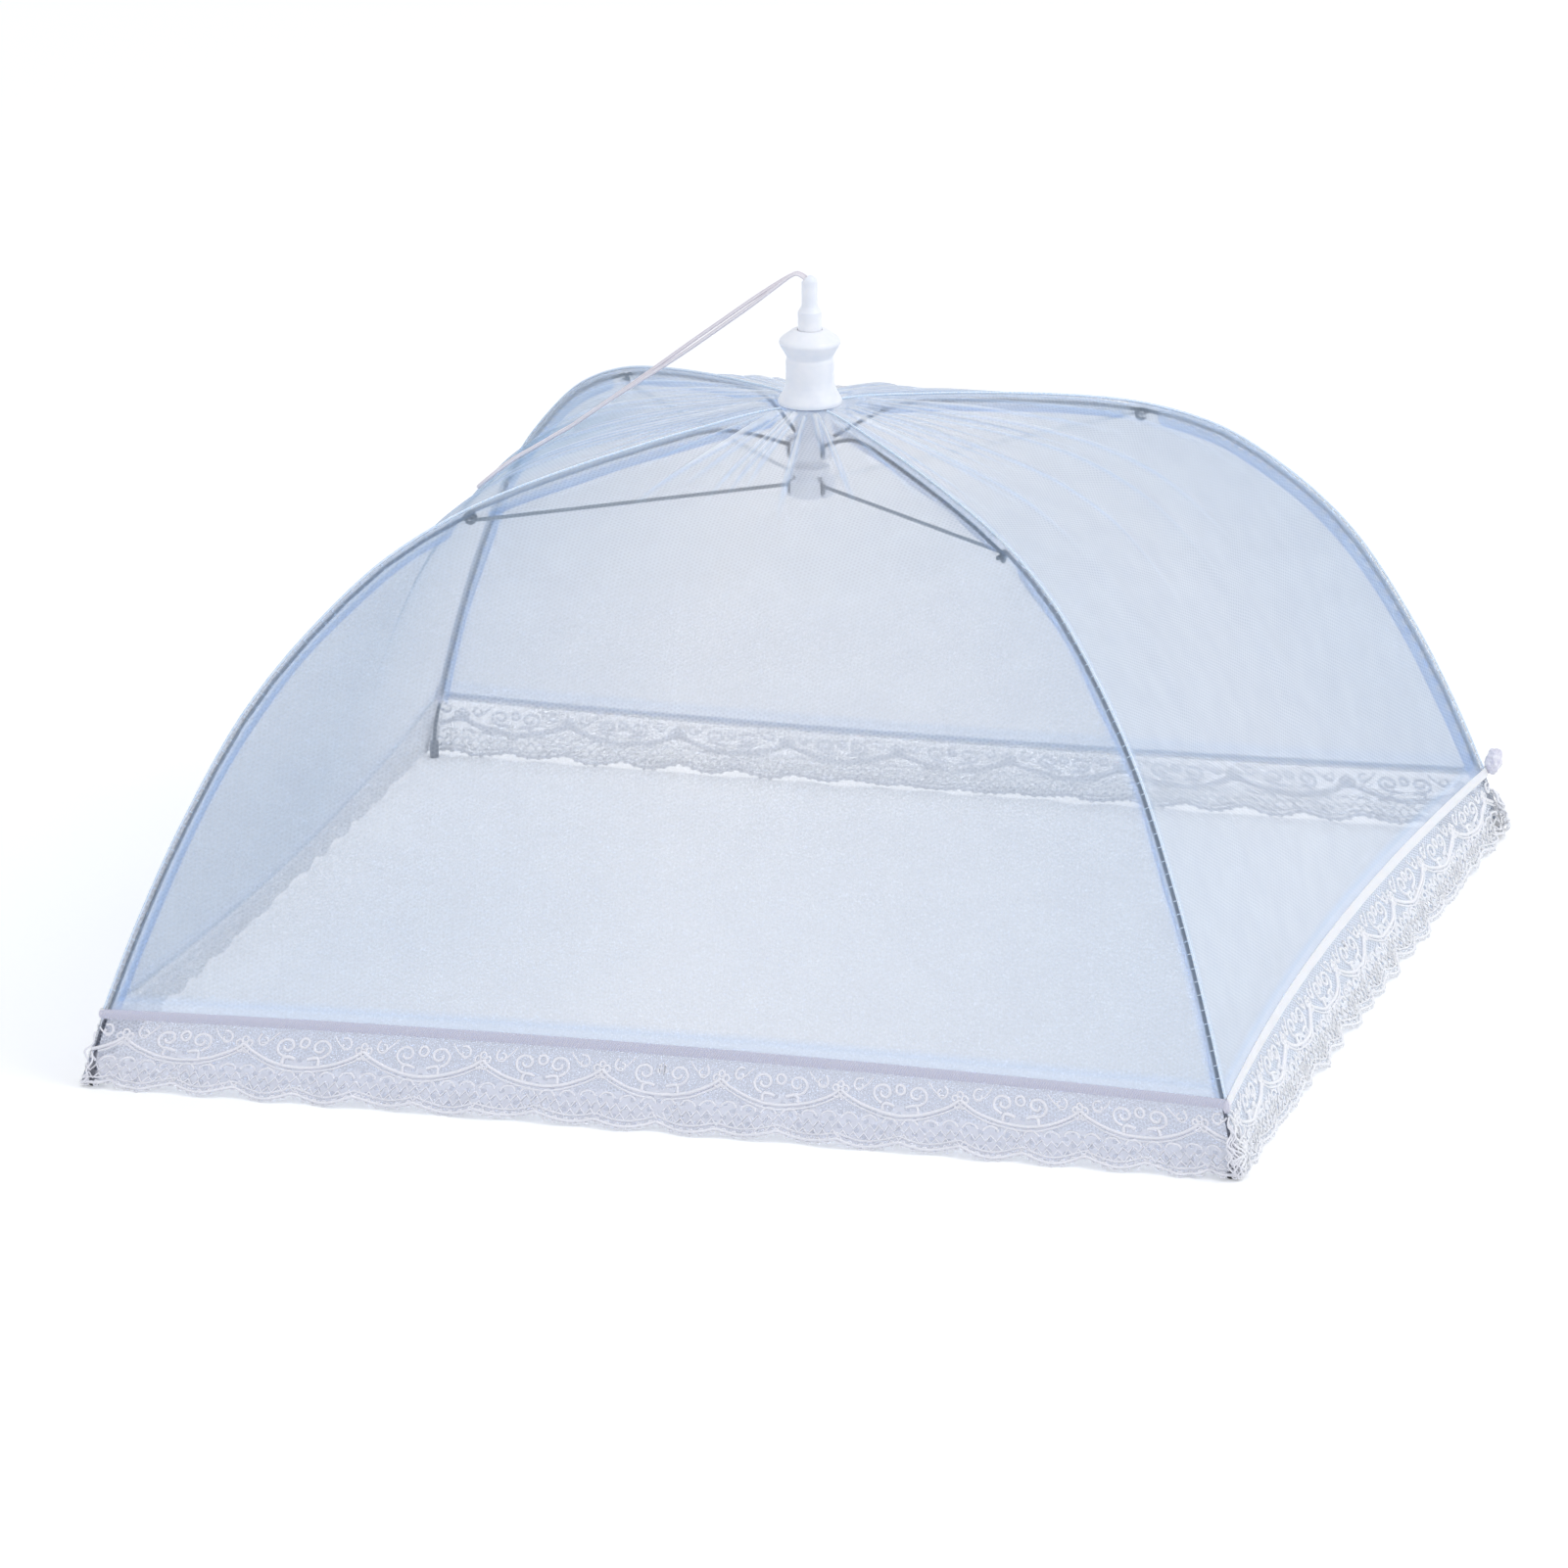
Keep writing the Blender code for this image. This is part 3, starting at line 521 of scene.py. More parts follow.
def lace_material():
    # Raschel lace: a net ground in the upper band, and under it a belt of white clothwork with rows
    # of small eyelets. The ground's holes and the eyelets are painted darker, as painted shade of the
    # inside seen through them, and each side of the cover has its painted side shade. A sheer edge ends it.
    made, tree, shader = finish_for("raschel_lace_ground", "F4F6FC", 0.7, sheen=0.25, through=0.7)
    place = uneven_place(tree, 1.0 * mm)
    down = node(tree, "SeparateXYZ", Vector=place).outputs["Y"]
    festoon = wave_across(tree, place, (2 * pi / motif, 0))
    level = node(tree, "Math", {"operation": "MULTIPLY_ADD"}, n0=festoon, n1=1.6 * mm, n2=down)
    belt = node(tree, "MapRange", Value=level, From_Min=14.2 * mm, From_Max=15.6 * mm)
    edge = node(tree, "MapRange", Value=level, From_Min=24.0 * mm, From_Max=25.6 * mm)
    holes = holes_of(tree, place, lace_pitch)
    mesh = node(tree, "MapRange", Value=holes, From_Min=-0.4, From_Max=1.2, To_Min=1.0, To_Max=0.0)
    row = node(tree, "Math", {"operation": "MULTIPLY"}, n0=level, n1=pi / (2.6 * mm))
    row = node(tree, "Math", {"operation": "COSINE"}, n0=row)
    column = wave_across(tree, place, (pi / (3.1 * mm), 0))
    eyelet = node(tree, "Math", {"operation": "MULTIPLY"}, n0=row, n1=column)
    eyelet = node(tree, "MapRange", Value=eyelet, From_Min=0.42, From_Max=0.62)
    # Painted shade: darker in the ground's holes and in the eyelets, and by the side of the cover
    in_hole = side_shaded_colour(tree, "EEF1F8", "A5B5CF", "8F95B4")
    on_thread = side_shaded_colour(tree, "FBFCFF", "CBD5E6", "B4B9CE")
    ground = node(tree, "Mix", colours, n0=mesh, n6=in_hole, n7=on_thread)
    cloth = side_shaded_colour(tree, "FFFFFF", "FBFCFF", "CDCEDD")
    eyelet_painted_shade = side_shaded_colour(tree, "D5DBE8", "8C9FBC", "9499B5")
    cloth = node(tree, "Mix", colours, n0=eyelet, n6=cloth, n7=eyelet_painted_shade)
    tint = node(tree, "Mix", colours, n0=belt, n6=ground, n7=cloth)
    tint = node(tree, "Mix", colours, n0=edge, n6=tint, n7=side_shaded_colour(tree, "F8FAFE", "D9E0EC", "BEC0D3"))
    ground = node(tree, "MapRange", Value=mesh, To_Min=0.48, To_Max=0.74)
    cloth = node(tree, "MapRange", Value=eyelet, To_Min=0.80, To_Max=0.62)
    stopped = node(tree, "MapRange", Value=belt, To_Min=ground, To_Max=cloth)
    rim = node(tree, "MapRange", Value=mesh, To_Min=0.35, To_Max=0.7)
    stopped = node(tree, "MapRange", Value=edge, To_Min=stopped, To_Max=rim)
    raised = node(tree, "Math", {"operation": "SUBTRACT"}, n0=belt, n1=eyelet)
    bump = node(tree, "Bump", Height=raised, Strength=0.6, Distance=0.35 * mm)
    feed(tree, shader, Base_Color=tint, Alpha=stopped, Normal=bump)
    return made


def thread_material(name, colour, painted_front_shade, shadow, rough, grain, sheen):
    """Spun thread: a fine uneven shade, a bump of fibres across the strand, and a painted shade on the front
    of the cover.
    """
    made, tree, shader = finish_for(name, colour, rough, sheen=sheen)
    place = node(tree, "TexCoord").outputs["Object"]
    fibres = node(tree, "TexNoise", Vector=place, Scale=grain, Detail=3.0, Roughness=0.6)
    spun = node(tree, "MapRange", Value=fibres, From_Min=0.30, From_Max=0.62)
    tint = node(tree, "Mix", colours, n0=spun, n6=shadow, n7=side_shaded_colour(tree, colour, colour, painted_front_shade))
    bump = node(tree, "Bump", Height=fibres, Strength=0.4, Distance=0.15 * mm)
    feed(tree, shader, Base_Color=tint, Normal=bump)
    return made


def satin_braid_material():
    # Woven satin braid: white polyester with slanting floats 0.9 mm apart, painted brighter along the weave
    # as a painted sheen, and a painted shade by the side of the cover, lavender-grey on the front.
    made, tree, shader = finish_for("white_satin_braid", "F8F9FD", 0.38, sheen=0.3, milky=0.6)
    floats = wave_across(tree, node(tree, "UVMap"), (2 * pi / (0.9 * mm), 2 * pi / (1.6 * mm)), "SINE")
    painted_sheen = node(tree, "MapRange", Value=floats, From_Min=-1.0, From_Max=-0.1)
    dull = side_shaded_colour(tree, "E6EBF6", "E1E6F2", "C3C4D8")
    bright = side_shaded_colour(tree, "FFFFFF", "FDFEFF", "D2D3E2")
    tint = node(tree, "Mix", colours, n0=painted_sheen, n6=dull, n7=bright)
    bump = node(tree, "Bump", Height=floats, Strength=0.5, Distance=0.12 * mm)
    feed(tree, shader, Base_Color=tint, Normal=bump)
    return made


def cord_material():
    # Braided cotton cord: strands wind both ways round it, 2.2 mm to a turn, off-white with a warm cast, and
    # painted shade in the grooves between the strands.
    made, tree, shader = finish_for("braided_cotton_cord", "F3F0F5", 0.7, sheen=0.3)
    place = node(tree, "UVMap")
    one_way, other_way = (
        wave_across(tree, place, (2 * pi / (1.1 * mm), hand * 4 * pi), "SINE") for hand in (1, -1)
    )
    weave = node(tree, "Math", {"operation": "MULTIPLY"}, n0=one_way, n1=other_way)
    level = node(tree, "MapRange", Value=weave, From_Min=-1.0)
    # Painted shade: darker where the weave sinks between the strands
    tint = node(tree, "ValToRGB", stops=((0.1, "CFC8D2"), (0.6, "F6F2F6")), n0=level)
    bump = node(tree, "Bump", Height=level, Strength=0.5, Distance=0.15 * mm)
    feed(tree, shader, Base_Color=tint, Normal=bump)
    return made


def moulded_plastic(name, colour, shadow, rough):
    # Injection-moulded polypropylene: waxy white, slightly milky, with a very fine orange peel.
    made, tree, shader = finish_for(name, colour, rough, milky=0.12)
    place = node(tree, "TexCoord").outputs["Object"]
    clouds = node(tree, "TexNoise", Vector=place, Scale=160.0, Detail=2.0)
    tint = node(tree, "ValToRGB", stops=((0.3, shadow), (0.7, colour)), n0=clouds)
    peel = node(tree, "TexNoise", Vector=place, Scale=1300.0, Detail=2.0)
    dull = node(tree, "MapRange", Value=peel, To_Min=rough - 0.06, To_Max=rough + 0.08)
    bump = node(tree, "Bump", Height=peel, Strength=0.12, Distance=0.06 * mm)
    feed(tree, shader, Base_Color=tint, Roughness=dull, Normal=bump)
    return made


def drawn_wire(name, colour, shadow, rough):
    # Drawn steel wire: grey with faint lengthwise die marks and cloudy oxide.
    made, tree, shader = finish_for(name, colour, rough, metallic=1.0)
    place = node(tree, "TexCoord").outputs["Object"]
    oxide = node(tree, "TexNoise", Vector=place, Scale=420.0, Detail=3.0)
    tint = node(tree, "ValToRGB", stops=((0.35, shadow), (0.65, colour)), n0=oxide)
    marks = node(tree, "TexNoise", Vector=place, Scale=2600.0, Detail=1.0)
    dull = node(tree, "MapRange", Value=marks, To_Min=rough - 0.1, To_Max=rough + 0.15)
    bump = node(tree, "Bump", Height=marks, Strength=0.15, Distance=0.04 * mm)
    feed(tree, shader, Base_Color=tint, Roughness=dull, Normal=bump)
    return made


blue_net = net_material()
seam_net = seam_material()
lace_ground = lace_material()
satin = satin_braid_material()
cotton = cord_material()
# Mercerised cotton embroidery thread: bright white with a soft sheen.
lace_thread = thread_material("white_embroidery_thread", "FFFFFF", "F6F5FA", "E6E9F3", 0.6, 1400.0, 0.4)
# The braid's crumpled end: the same soft white with a lavender shade in its folds.
bunched = thread_material("crumpled_braid_end", "F3F2F9", "D9D8E6", "D8D7E8", 0.7, 420.0, 0.3)
# Sewing thread along the ribs: bluish white, matt.
sewing_thread = thread_material("white_sewing_thread", "ECF5FE", "ECF5FE", "BEDAF6", 0.6, 1600.0, 0.2)
white_plastic = moulded_plastic("moulded_white_polypropylene", "F5F7FC", "ECF0F8", 0.33)
tip_plastic = moulded_plastic("dark_soft_pvc", "3B4044", "2C3033", 0.5)
rib_wire = drawn_wire("drawn_spring_steel", "424B51", "2C3439", 0.34)
strut_wire = drawn_wire("galvanised_strut_steel", "768086", "5C656B", 0.32)
# The back struts: the same galvanised steel painted near white, a painted highlight together with the pale
# haze of the nets in front of them
strut_wire_painted_highlight = drawn_wire("galvanised_strut_steel_painted_highlight", "F4F6F8", "DDE1E5", 0.45)
tie_wire = drawn_wire("annealed_tie_steel", "8B9095", "6E7378", 0.42)


# Canopy: each quarter is sewn to one rib and reaches to the fold line on both sides


def uv_of(middle, hand, radius, share):
    """Place on the flat cloth: across from the fold line, and down from the crown."""
    return Vector((hand * radius * cos(pi / 4) * share + 3.1 * middle * mm, ridge_run(radius)))


run_table = [0.0]
run_step = 1.0 * mm
while len(run_table) * run_step < half_diagonal + 2 * run_step:
    low = (len(run_table) - 1) * run_step
    high = min(low + run_step, half_diagonal)
    drop = ridge_height(high) - ridge_height(min(low, half_diagonal))
    run_table.append(run_table[-1] + hypot(run_step * cos(pi / 4), drop))


def ridge_run(radius):
    """Length along a panel's fold line from the axis to a radius."""
    index = int(radius / run_step)
    return run_table[index] + (run_table[index + 1] - run_table[index]) * (radius / run_step - index)


gore_run = ridge_run(half_diagonal)
# A face of the cloth is turned outwards, away from the place on the axis this far below it
looked_from = 120 * mm


def grid_piece(
    name, parts, rows, columns, finish, place, flat_place,
    gather=None, painted_paleness=None, merge=0.02 * mm, outwards=True,
):
    """Cloth over several grids: place(part, along, across) in space and flat_place on the flat cloth."""
    bm = bmesh.new()
    uv = bm.loops.layers.uv.new("UVMap")
    crowd = bm.verts.layers.float.new("gather")
    paleness_layer = bm.verts.layers.float.new("painted_paleness")
    for part in parts:
        made = bmesh.ops.create_grid(bm, x_segments=rows, y_segments=columns, size=0.5)["verts"]
        grid = {vert: (vert.co.x + 0.5, vert.co.y + 0.5) for vert in made}
        for face in {face for vert in made for face in vert.link_faces}:
            for loop in face.loops:
                loop[uv].uv = flat_place(part, *grid[loop.vert])
        for vert, spot in grid.items():
            vert.co = place(part, *spot)
            vert[crowd] = gather(part, *spot) if gather else 0.0
            vert[paleness_layer] = painted_paleness(part, *spot) if painted_paleness else 0.0
    bm.normal_update()
    inward = []
    for face in bm.faces:
        middle = face.calc_center_median()
        if outwards and face.normal.dot(Vector((middle.x, middle.y, looked_from))) < 0:
            inward.append(face)
    bmesh.ops.reverse_faces(bm, faces=inward)
    bmesh.ops.remove_doubles(bm, verts=bm.verts, dist=merge)
    for face in bm.faces:
        face.smooth = True
    return new_piece(name, bm, finish)


# How much paler and more open the net is painted on each panel, as painted light and shade, by the azimuth
# of its middle
paleness_by_panel = {180: 0.0, 270: 1.0, 0: 0.65, 90: 0.9}
net_rows, net_columns = 84, 72
net_radii = even_radii(net_foot, half_diagonal, net_rows)


def at_row(along):
    """Radius of a row of the net, along from 0 at the crown to 1 at the hem."""
    row = min(int(along * net_rows), net_rows - 1)
    return net_radii[row] + (net_radii[row + 1] - net_radii[row]) * (along * net_rows - row)


def net_gather(part, along, across):
    """How far the net crowds: in the creases, round the crown, and where it is doubled at the hem and
    beside the ribs."""
    middle, hand = part
    radius = at_row(along)
    creased = crease_at(middle, hand * atan(across), radius)[1] * 0.85
    crown = 0.28 * exp(-max(0.0, radius - 11 * mm) / (14 * mm))
    hem = 0.5 * smooth_step(0, 1 * mm, 5 * mm - (gore_run - ridge_run(radius)))
    doubled = 0.5 * (1 - smooth_step(1.5 * mm, 4.5 * mm, radius * sin(pi / 4 - atan(across))))
    return min(1.0, creased + crown + max(hem, doubled * smooth_step(12 * mm, 60 * mm, radius)))


def net_painted_paleness(part, along, across):
    """How much paler the net is painted, as painted light and shade: by the panel, half way along the ribs,
    and more round the crown.
    """
    painted_paleness = paleness_by_panel[part[0]] * (1 - across) + 0.5 * across
    return painted_paleness + (1 - painted_paleness) * 0.75 * (1 - smooth_step(50 * mm, 150 * mm, at_row(along)))


def canopy(corner):
    piece = grid_piece(
        "net_" + corner,
        halves_of(corner),
        net_rows,
        net_columns,
        blue_net,
        lambda part, along, across: net_place(*part, at_row(along), across),
        lambda part, along, across: uv_of(*part, at_row(along), across),
        net_gather,
        net_painted_paleness,
    )
    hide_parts(*("panel_" + name for name in panels_at[corner]))
    return follow_rib(piece)


# Seams along the ribs

# The seam hangs inwards from the ridge and passes the wire on one side: 1 is the anticlockwise side
# as seen from above, and -1 the clockwise one
seam_side = {"front_left": 1, "front_right": 1, "back_right": -1, "back_left": 1}
seam_start = 0.1 * mm
past_wire_by = 1.4 * mm
seam_rows, seam_columns = 90, 12


def on_stretch(stretch, along):
    """Radius at a share of the way along a stretch of the rib, given as its two radii."""
    start, end = stretch
    return start + (end - start) * along


def seam_place(corner, stretch, along, across):
    radius = on_stretch(stretch, along)
    depth = seam_start + (seam_depth - seam_start) * across * smooth_step(0, 0.05, along + 0.02)
    wire_side = inner_wire_side if radius < joint_out else 0.0
    side = seam_side[corner]
    past_wire = wire_side + side * past_wire_by
    needed = past_wire if side * past_wire > 0 else 0.0
    swell = exp(-(((depth - wire_depth) / (1.9 * mm)) ** 4))
    sway = 0.5 * mm * sin(radius / (7.3 * mm)) * across
    out, height = below_ridge(radius, depth)
    return in_plane(corner, out, needed * swell + sway, height)


def seam_closed(corner, radius):
    """How closely the sleeve is stitched: the front ribs show through theirs, most of all low down."""
    if corner == "front_right":
        return 0.1
    return 1 - 0.85 * smooth_step(70 * mm, 170 * mm, radius) if corner == "front_left" else 1.0


def seam_band(corner):
    inner = (14 * mm, joint_out - coil_clearance)
    outer = (joint_out + coil_clearance, half_diagonal - 0.5 * mm)
    piece = grid_piece(
        "seam_band_" + corner,
        (inner, outer),
        seam_rows,
        seam_columns,
        seam_net,
        lambda stretch, along, across: seam_place(corner, stretch, along, across),
        lambda stretch, along, across: Vector((on_stretch(stretch, along), across * seam_depth)),
        lambda stretch, along, across: seam_closed(corner, on_stretch(stretch, along)),
        outwards=False,
    )
    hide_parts("casing_inner_" + corner, "casing_outer_" + corner)
    return follow_rib(piece)


def seam_thread(corner):
    """Edge stitching on the ridge, and loops of thread that hold the wire to the net."""
    radii = even_radii(13 * mm, half_diagonal, 120)
    ridge = [in_plane(corner, radius, 0, ridge_height(radius) + 0.25 * mm) for radius in radii]
    routes = [(ridge, False, 1.5)]
    for radius in even_radii(50 * mm, half_diagonal - 4 * mm, 64):
        if abs(radius - joint_out) < coil_clearance:
            continue
        side = inner_wire_side if radius < joint_out else 0.0
        loop = []
        for k in range(10):
            angle = 2 * pi * k / 10
            depth = 1.75 * mm - 1.55 * mm * cos(angle)
            out, height = below_ridge(radius, depth)
            aside = side * min(1, depth / wire_depth) + 1.15 * mm * sin(angle)
            loop.append(in_plane(corner, out, aside, height))
        routes.append((loop, True, 0.6))
    piece = curves_as_mesh("seam_thread_" + corner, routes, 0.7 * mm, sewing_thread, sides=0)
    return follow_rib(piece)


# Lace and braid along the hem

# How far the lace's foot stays above the table, and how often its sheet ripples along half a side,
# ripples where it is gathered at a corner, and swings out and in
lace_lift = 0.55 * mm
hem_ripples = 8.3
corner_ripples = 26
hem_waves = 4.5
lace_rows, lace_columns = 220, 14
braid_rows, braid_columns = 160, 4


def lace_place(middle, hand, along, down, proud=0.0):
    """A place on the lace: along is 0 at the fold line and 1 at the corner, down 0 at the hem to 1."""
    drop = lace_drop - lace_lift
    near_corner = smooth_step(0.80, 1.0, along)
    along_hem = 1.1 * mm * sin(2 * pi * (along * hem_ripples + middle / 100)) * (1 - near_corner)
    at_corner = 1.3 * mm * near_corner * sin(2 * pi * along * corner_ripples)
    ripple = down**1.5 * (along_hem + at_corner)
    ripple *= 1 - smooth_step(0.975, 1.0, along)
    wave = 1.5 * mm * down * (1 - along) * (1 + cos(2 * pi * hem_waves * along)) / 2
    line = half_side + lace_foot * down
    outward = line - hem_bow * (1 - along**2) * (1 - down) - wave + ripple
    out = way_out(middle)
    sideways = Vector((-out.y, out.x, 0)) * hand * line * along
    lean = atan2(lace_foot + hem_bow * (1 - along**2), lace_drop)
    height = drop * (1 - down) + lace_lift
    place = out * outward + sideways + Vector((0, 0, height))
    return place + (out * cos(lean) + Vector((0, 0, sin(lean)))) * proud


def scallop(along):
    """Depth of the lace's scalloped edge at a distance along the hem, as a share of its slant."""
    s = (along / (motif / 2)) % 1.0
    uneven = 0.015 * sin(along / (9.7 * mm)) + 0.012 * sin(along / (3.9 * mm) + 1)
    return 0.895 + 0.075 * sin(pi * s) + uneven


def lace_sheet(corner):
    def place(part, along, across):
        middle, hand = part
        return lace_place(middle, hand, along, across * scallop(along * half_side))

    piece = grid_piece(
        "lace_edging_" + corner,
        halves_of(corner),
        lace_rows,
        lace_columns,
        lace_ground,
        place,
        lambda part, along, across: Vector((part[1] * along * half_side, across * lace_slant)),
    )
    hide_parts(*("lace_" + name for name in panels_at[corner]))
    return follow_rib(piece)


def arc_route(centre, radius, start, end, count, squash=1.0):
    """Places on an arc in the lace's flat plane, in millimetres; angles in degrees, radius (first, last)."""
    route = []
    for k in range(count + 1):
        s = k / count
        angle = radians(start + (end - start) * s)
        size = radius[0] + (radius[1] - radius[0]) * s
        route.append((centre[0] + size * cos(angle), centre[1] + size * squash * sin(angle)))
    return route


def motif_routes():
    """One repeat of the lace's pattern, in millimetres along and down: (places, closed, thickness)."""
    wide = motif / mm
    half = wide / 2
    routes = []
    festoon = [(wide * k / 16, 8.2 + 7.2 * sin(pi * k / 16) ** 0.8) for k in range(17)]
    routes.append((festoon, False, 1.35))
    routes.append(([(x, y + 1.5) for x, y in festoon], False, 0.75))
    # A pair of scrolls that open away from each other over a bud
    for hand in (1, -1):
        scroll = arc_route((half + hand * 6.3, 8.0), (4.3, 1.0), 100, 100 - hand * 470, 20, 0.85)
        routes.append((scroll, False, 1.15))
        curl = arc_route((half + hand * 15.5, 6.3), (2.6, 0.9), -60, -60 + hand * 330, 12)
        routes.append((curl, False, 0.95))
        leaf = []
        for k in range(7):
            bulge = sin(pi * k / 6)
            out = half + hand * (2.2 + 5.5 * bulge * 0.28 + 4.5 * k / 6)
            leaf.append((out, 12.4 - 1.6 * bulge + 0.3 * k))
        routes.append((leaf, False, 1.3))
        stem = [(half + hand * (10.5 + 0.75 * k), 3.2 + 4.2 * sin(pi * k / 14)) for k in range(9)]
        routes.append((stem, False, 0.7))
    routes.append((arc_route((half, 6.6), (1.7, 1.7), 0, 324, 9), True, 1.2))
    # Five-petalled flower where two festoons meet
    for petal in range(5):
        turn = 72 * petal - 90
        centre = (2.0 * cos(radians(turn)), 8.4 + 2.0 * sin(radians(turn)))
        routes.append((arc_route(centre, (1.15, 1.15), turn, turn + 300, 6), True, 0.95))
    # Belt of small arches, and two rows of zigzag under it
    for k in range(6):
        centre = (wide * (k + 0.5) / 6, 17.6 + 1.2 * sin(pi * (k + 0.5) / 6))
        routes.append((arc_route(centre, (2.9, 2.9), 190, 350, 7, 0.8), False, 0.85))
    count = 24
    for row, level in enumerate((19.6, 22.6)):
        zigzag = []
        for k in range(count + 1):
            swing = 1.1 if (k + row) % 2 else -1.1
            zigzag.append((wide * k / count, level + swing + 0.9 * sin(2 * pi * k / count) ** 2))
        routes.append((zigzag, False, 0.75))
    return routes


def edge_routes(length):
    """The corded scalloped edge with its picots over a half side, in millimetres."""
    edge, routes = [], []
    count = 150
    for k in range(count + 1):
        along = length * k / count
        edge.append((along, scallop(along * mm) * lace_slant / mm - 0.3))
    routes.append((edge, False, 1.1))
    routes.append(([(along, down - 2.0) for along, down in edge], False, 0.65))
    picots = int(length / 3.9)
    for k in range(picots):
        along = length * (k + 0.5) / picots
        down = scallop(along * mm) * lace_slant / mm
        routes.append((arc_route((along, down - 0.2), (1.05, 1.05), 0, 300, 5), True, 0.6))
    return routes


def lace_pattern(corner):
    """Embroidery on the lace: scrolls, festoons, flowers, zigzags and the corded edge."""
    chance = Random(corners[corner])
    routes = []
    wide = motif / mm
    length = half_side / mm
    deep = lace_slant / mm
    for middle, hand in halves_of(corner):
        flat = list(edge_routes(length))
        first = -0.5 * wide
        repeat = motif_routes()
        while first < length:
            for places, closed, thick in repeat:
                shifted = [
                    (first + x + chance.uniform(-0.12, 0.12), y + chance.uniform(-0.1, 0.1))
                    for x, y in places
                ]
                flat.append((shifted, closed, thick))
            first += wide
        for places, closed, thick in flat:
            inside = [(x, y) for x, y in places if 0 <= x <= length]
            whole = closed and len(inside) == len(places)
            if len(inside) < 2:
                continue
            raised = [lace_place(middle, hand, x / length, y / deep, 0.35 * mm) for x, y in inside]
            routes.append((raised, whole, thick * chance.uniform(0.9, 1.1)))
    piece = curves_as_mesh("lace_pattern_" + corner, routes, 1.15 * mm, lace_thread, sides=0)
    return follow_rib(piece)


def braid(corner):
    def place(part, along, across):
        middle, hand = part
        drop = (across - 0.5) * braid_width
        puff = 0.45 * mm * sin(pi * across)
        if drop > 0:
            return lace_place(middle, hand, along, drop / lace_slant, 0.75 * mm + puff)
        top = lace_place(middle, hand, along, 0, 0.75 * mm + puff)
        lean = atan2(cos(pi / 4), -ridge_slope(half_diagonal))
        out = way_out(middle)
        return top + out * drop * sin(lean) - Vector((0, 0, drop * cos(lean)))

    piece = grid_piece(
        "satin_braid_" + corner,
        halves_of(corner),
        braid_rows,
        braid_columns,
        satin,
        place,
        lambda part, along, across: Vector((part[1] * along * half_side, across * braid_width)),
        merge=0.6 * mm,
    )
    bm = bmesh.new()
    bm.from_mesh(piece.data)
    bmesh.ops.solidify(bm, geom=bm.faces[:], thickness=0.6 * mm)
    bm.to_mesh(piece.data)
    bm.free()
    piece.data.set_sharp_from_angle(angle=radians(50))
    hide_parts(*("braid_" + name for name in panels_at[corner]))
    return follow_rib(piece)


# At each corner: the size of the braid's gathered end, how far out and how high it sits in
# millimetres, and how many loose threads the gathered lace shows
corner_gathers = {
    "front_left": (0.35, 0.3, 27.0, 2),
    "front_right": (0.55, 0.5, 26.0, 30),
    "back_right": (1.15, 4.2, 31.0, 16),
    "back_left": (0.7, -1.5, 27.5, 14),
}


def corner_bunch(corner):
    """The braid's end and the net's hem, drawn together over the wire into a small soft bunch."""
    scale, out_by, height = corner_gathers[corner][:3]
    bm = bmesh.new()
    bmesh.ops.create_icosphere(bm, subdivisions=5, radius=1)
    for vert in bm.verts:
        way = vert.co.normalized()
        crumple = noise.noise(way * 1.5 + Vector((corners[corner], 0, 0))) * 0.18
        crumple += abs(noise.noise(way * 4.0)) * 0.22 + noise.noise(way * 10) * 0.07
        size = scale * (0.85 + crumple) * mm
        out = half_diagonal + out_by * mm + 3.3 * size * way.x + 0.8 * size * way.z
        vert.co = in_plane(corner, out, 2.9 * size * way.y, height * mm + 5.0 * size * way.z)
    for face in bm.faces:
        face.smooth = True
    bmesh.ops.recalc_face_normals(bm, faces=bm.faces)
    piece = new_piece("corner_bunch_" + corner, bm, bunched)
    paint_side_shade(piece)
    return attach(piece, "rib_assembly_" + corner)


def corner_tangle(corner):
    """Loose loops of thread where the two lengths of lace are gathered together."""
    chance = Random(7 * corners[corner])
    routes = []
    for number in range(corner_gathers[corner][3]):
        turn = chance.uniform(-75, 75)
        low = chance.uniform(0.9, 11)
        high = low + chance.uniform(7, 14)
        swing = chance.uniform(14, 34)
        puff = chance.uniform(1.4, 3.0)
        places = []
        for k in range(17):
            s = k / 16
            height = (low + (high - low) * s) * mm
            angle = radians(turn + swing * sin(3 * pi * s + number))
            radius = (0.8 + puff * sin(pi * s)) * mm
            edge = half_diagonal + 9.9 * mm * (1 - height / lace_drop)
            places.append(in_plane(corner, edge + radius * cos(angle), 1.6 * radius * sin(angle), height))
        routes.append((places, False, chance.uniform(0.7, 1.2)))
    piece = curves_as_mesh("corner_tangle_" + corner, routes, 0.9 * mm, lace_thread, sides=0)
    paint_side_shade(piece)
    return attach(piece, "rib_assembly_" + corner)


# Cord

cord_exit = Vector((-1.5, 0, 268.5)) * mm
cord_width = 1.5 * mm
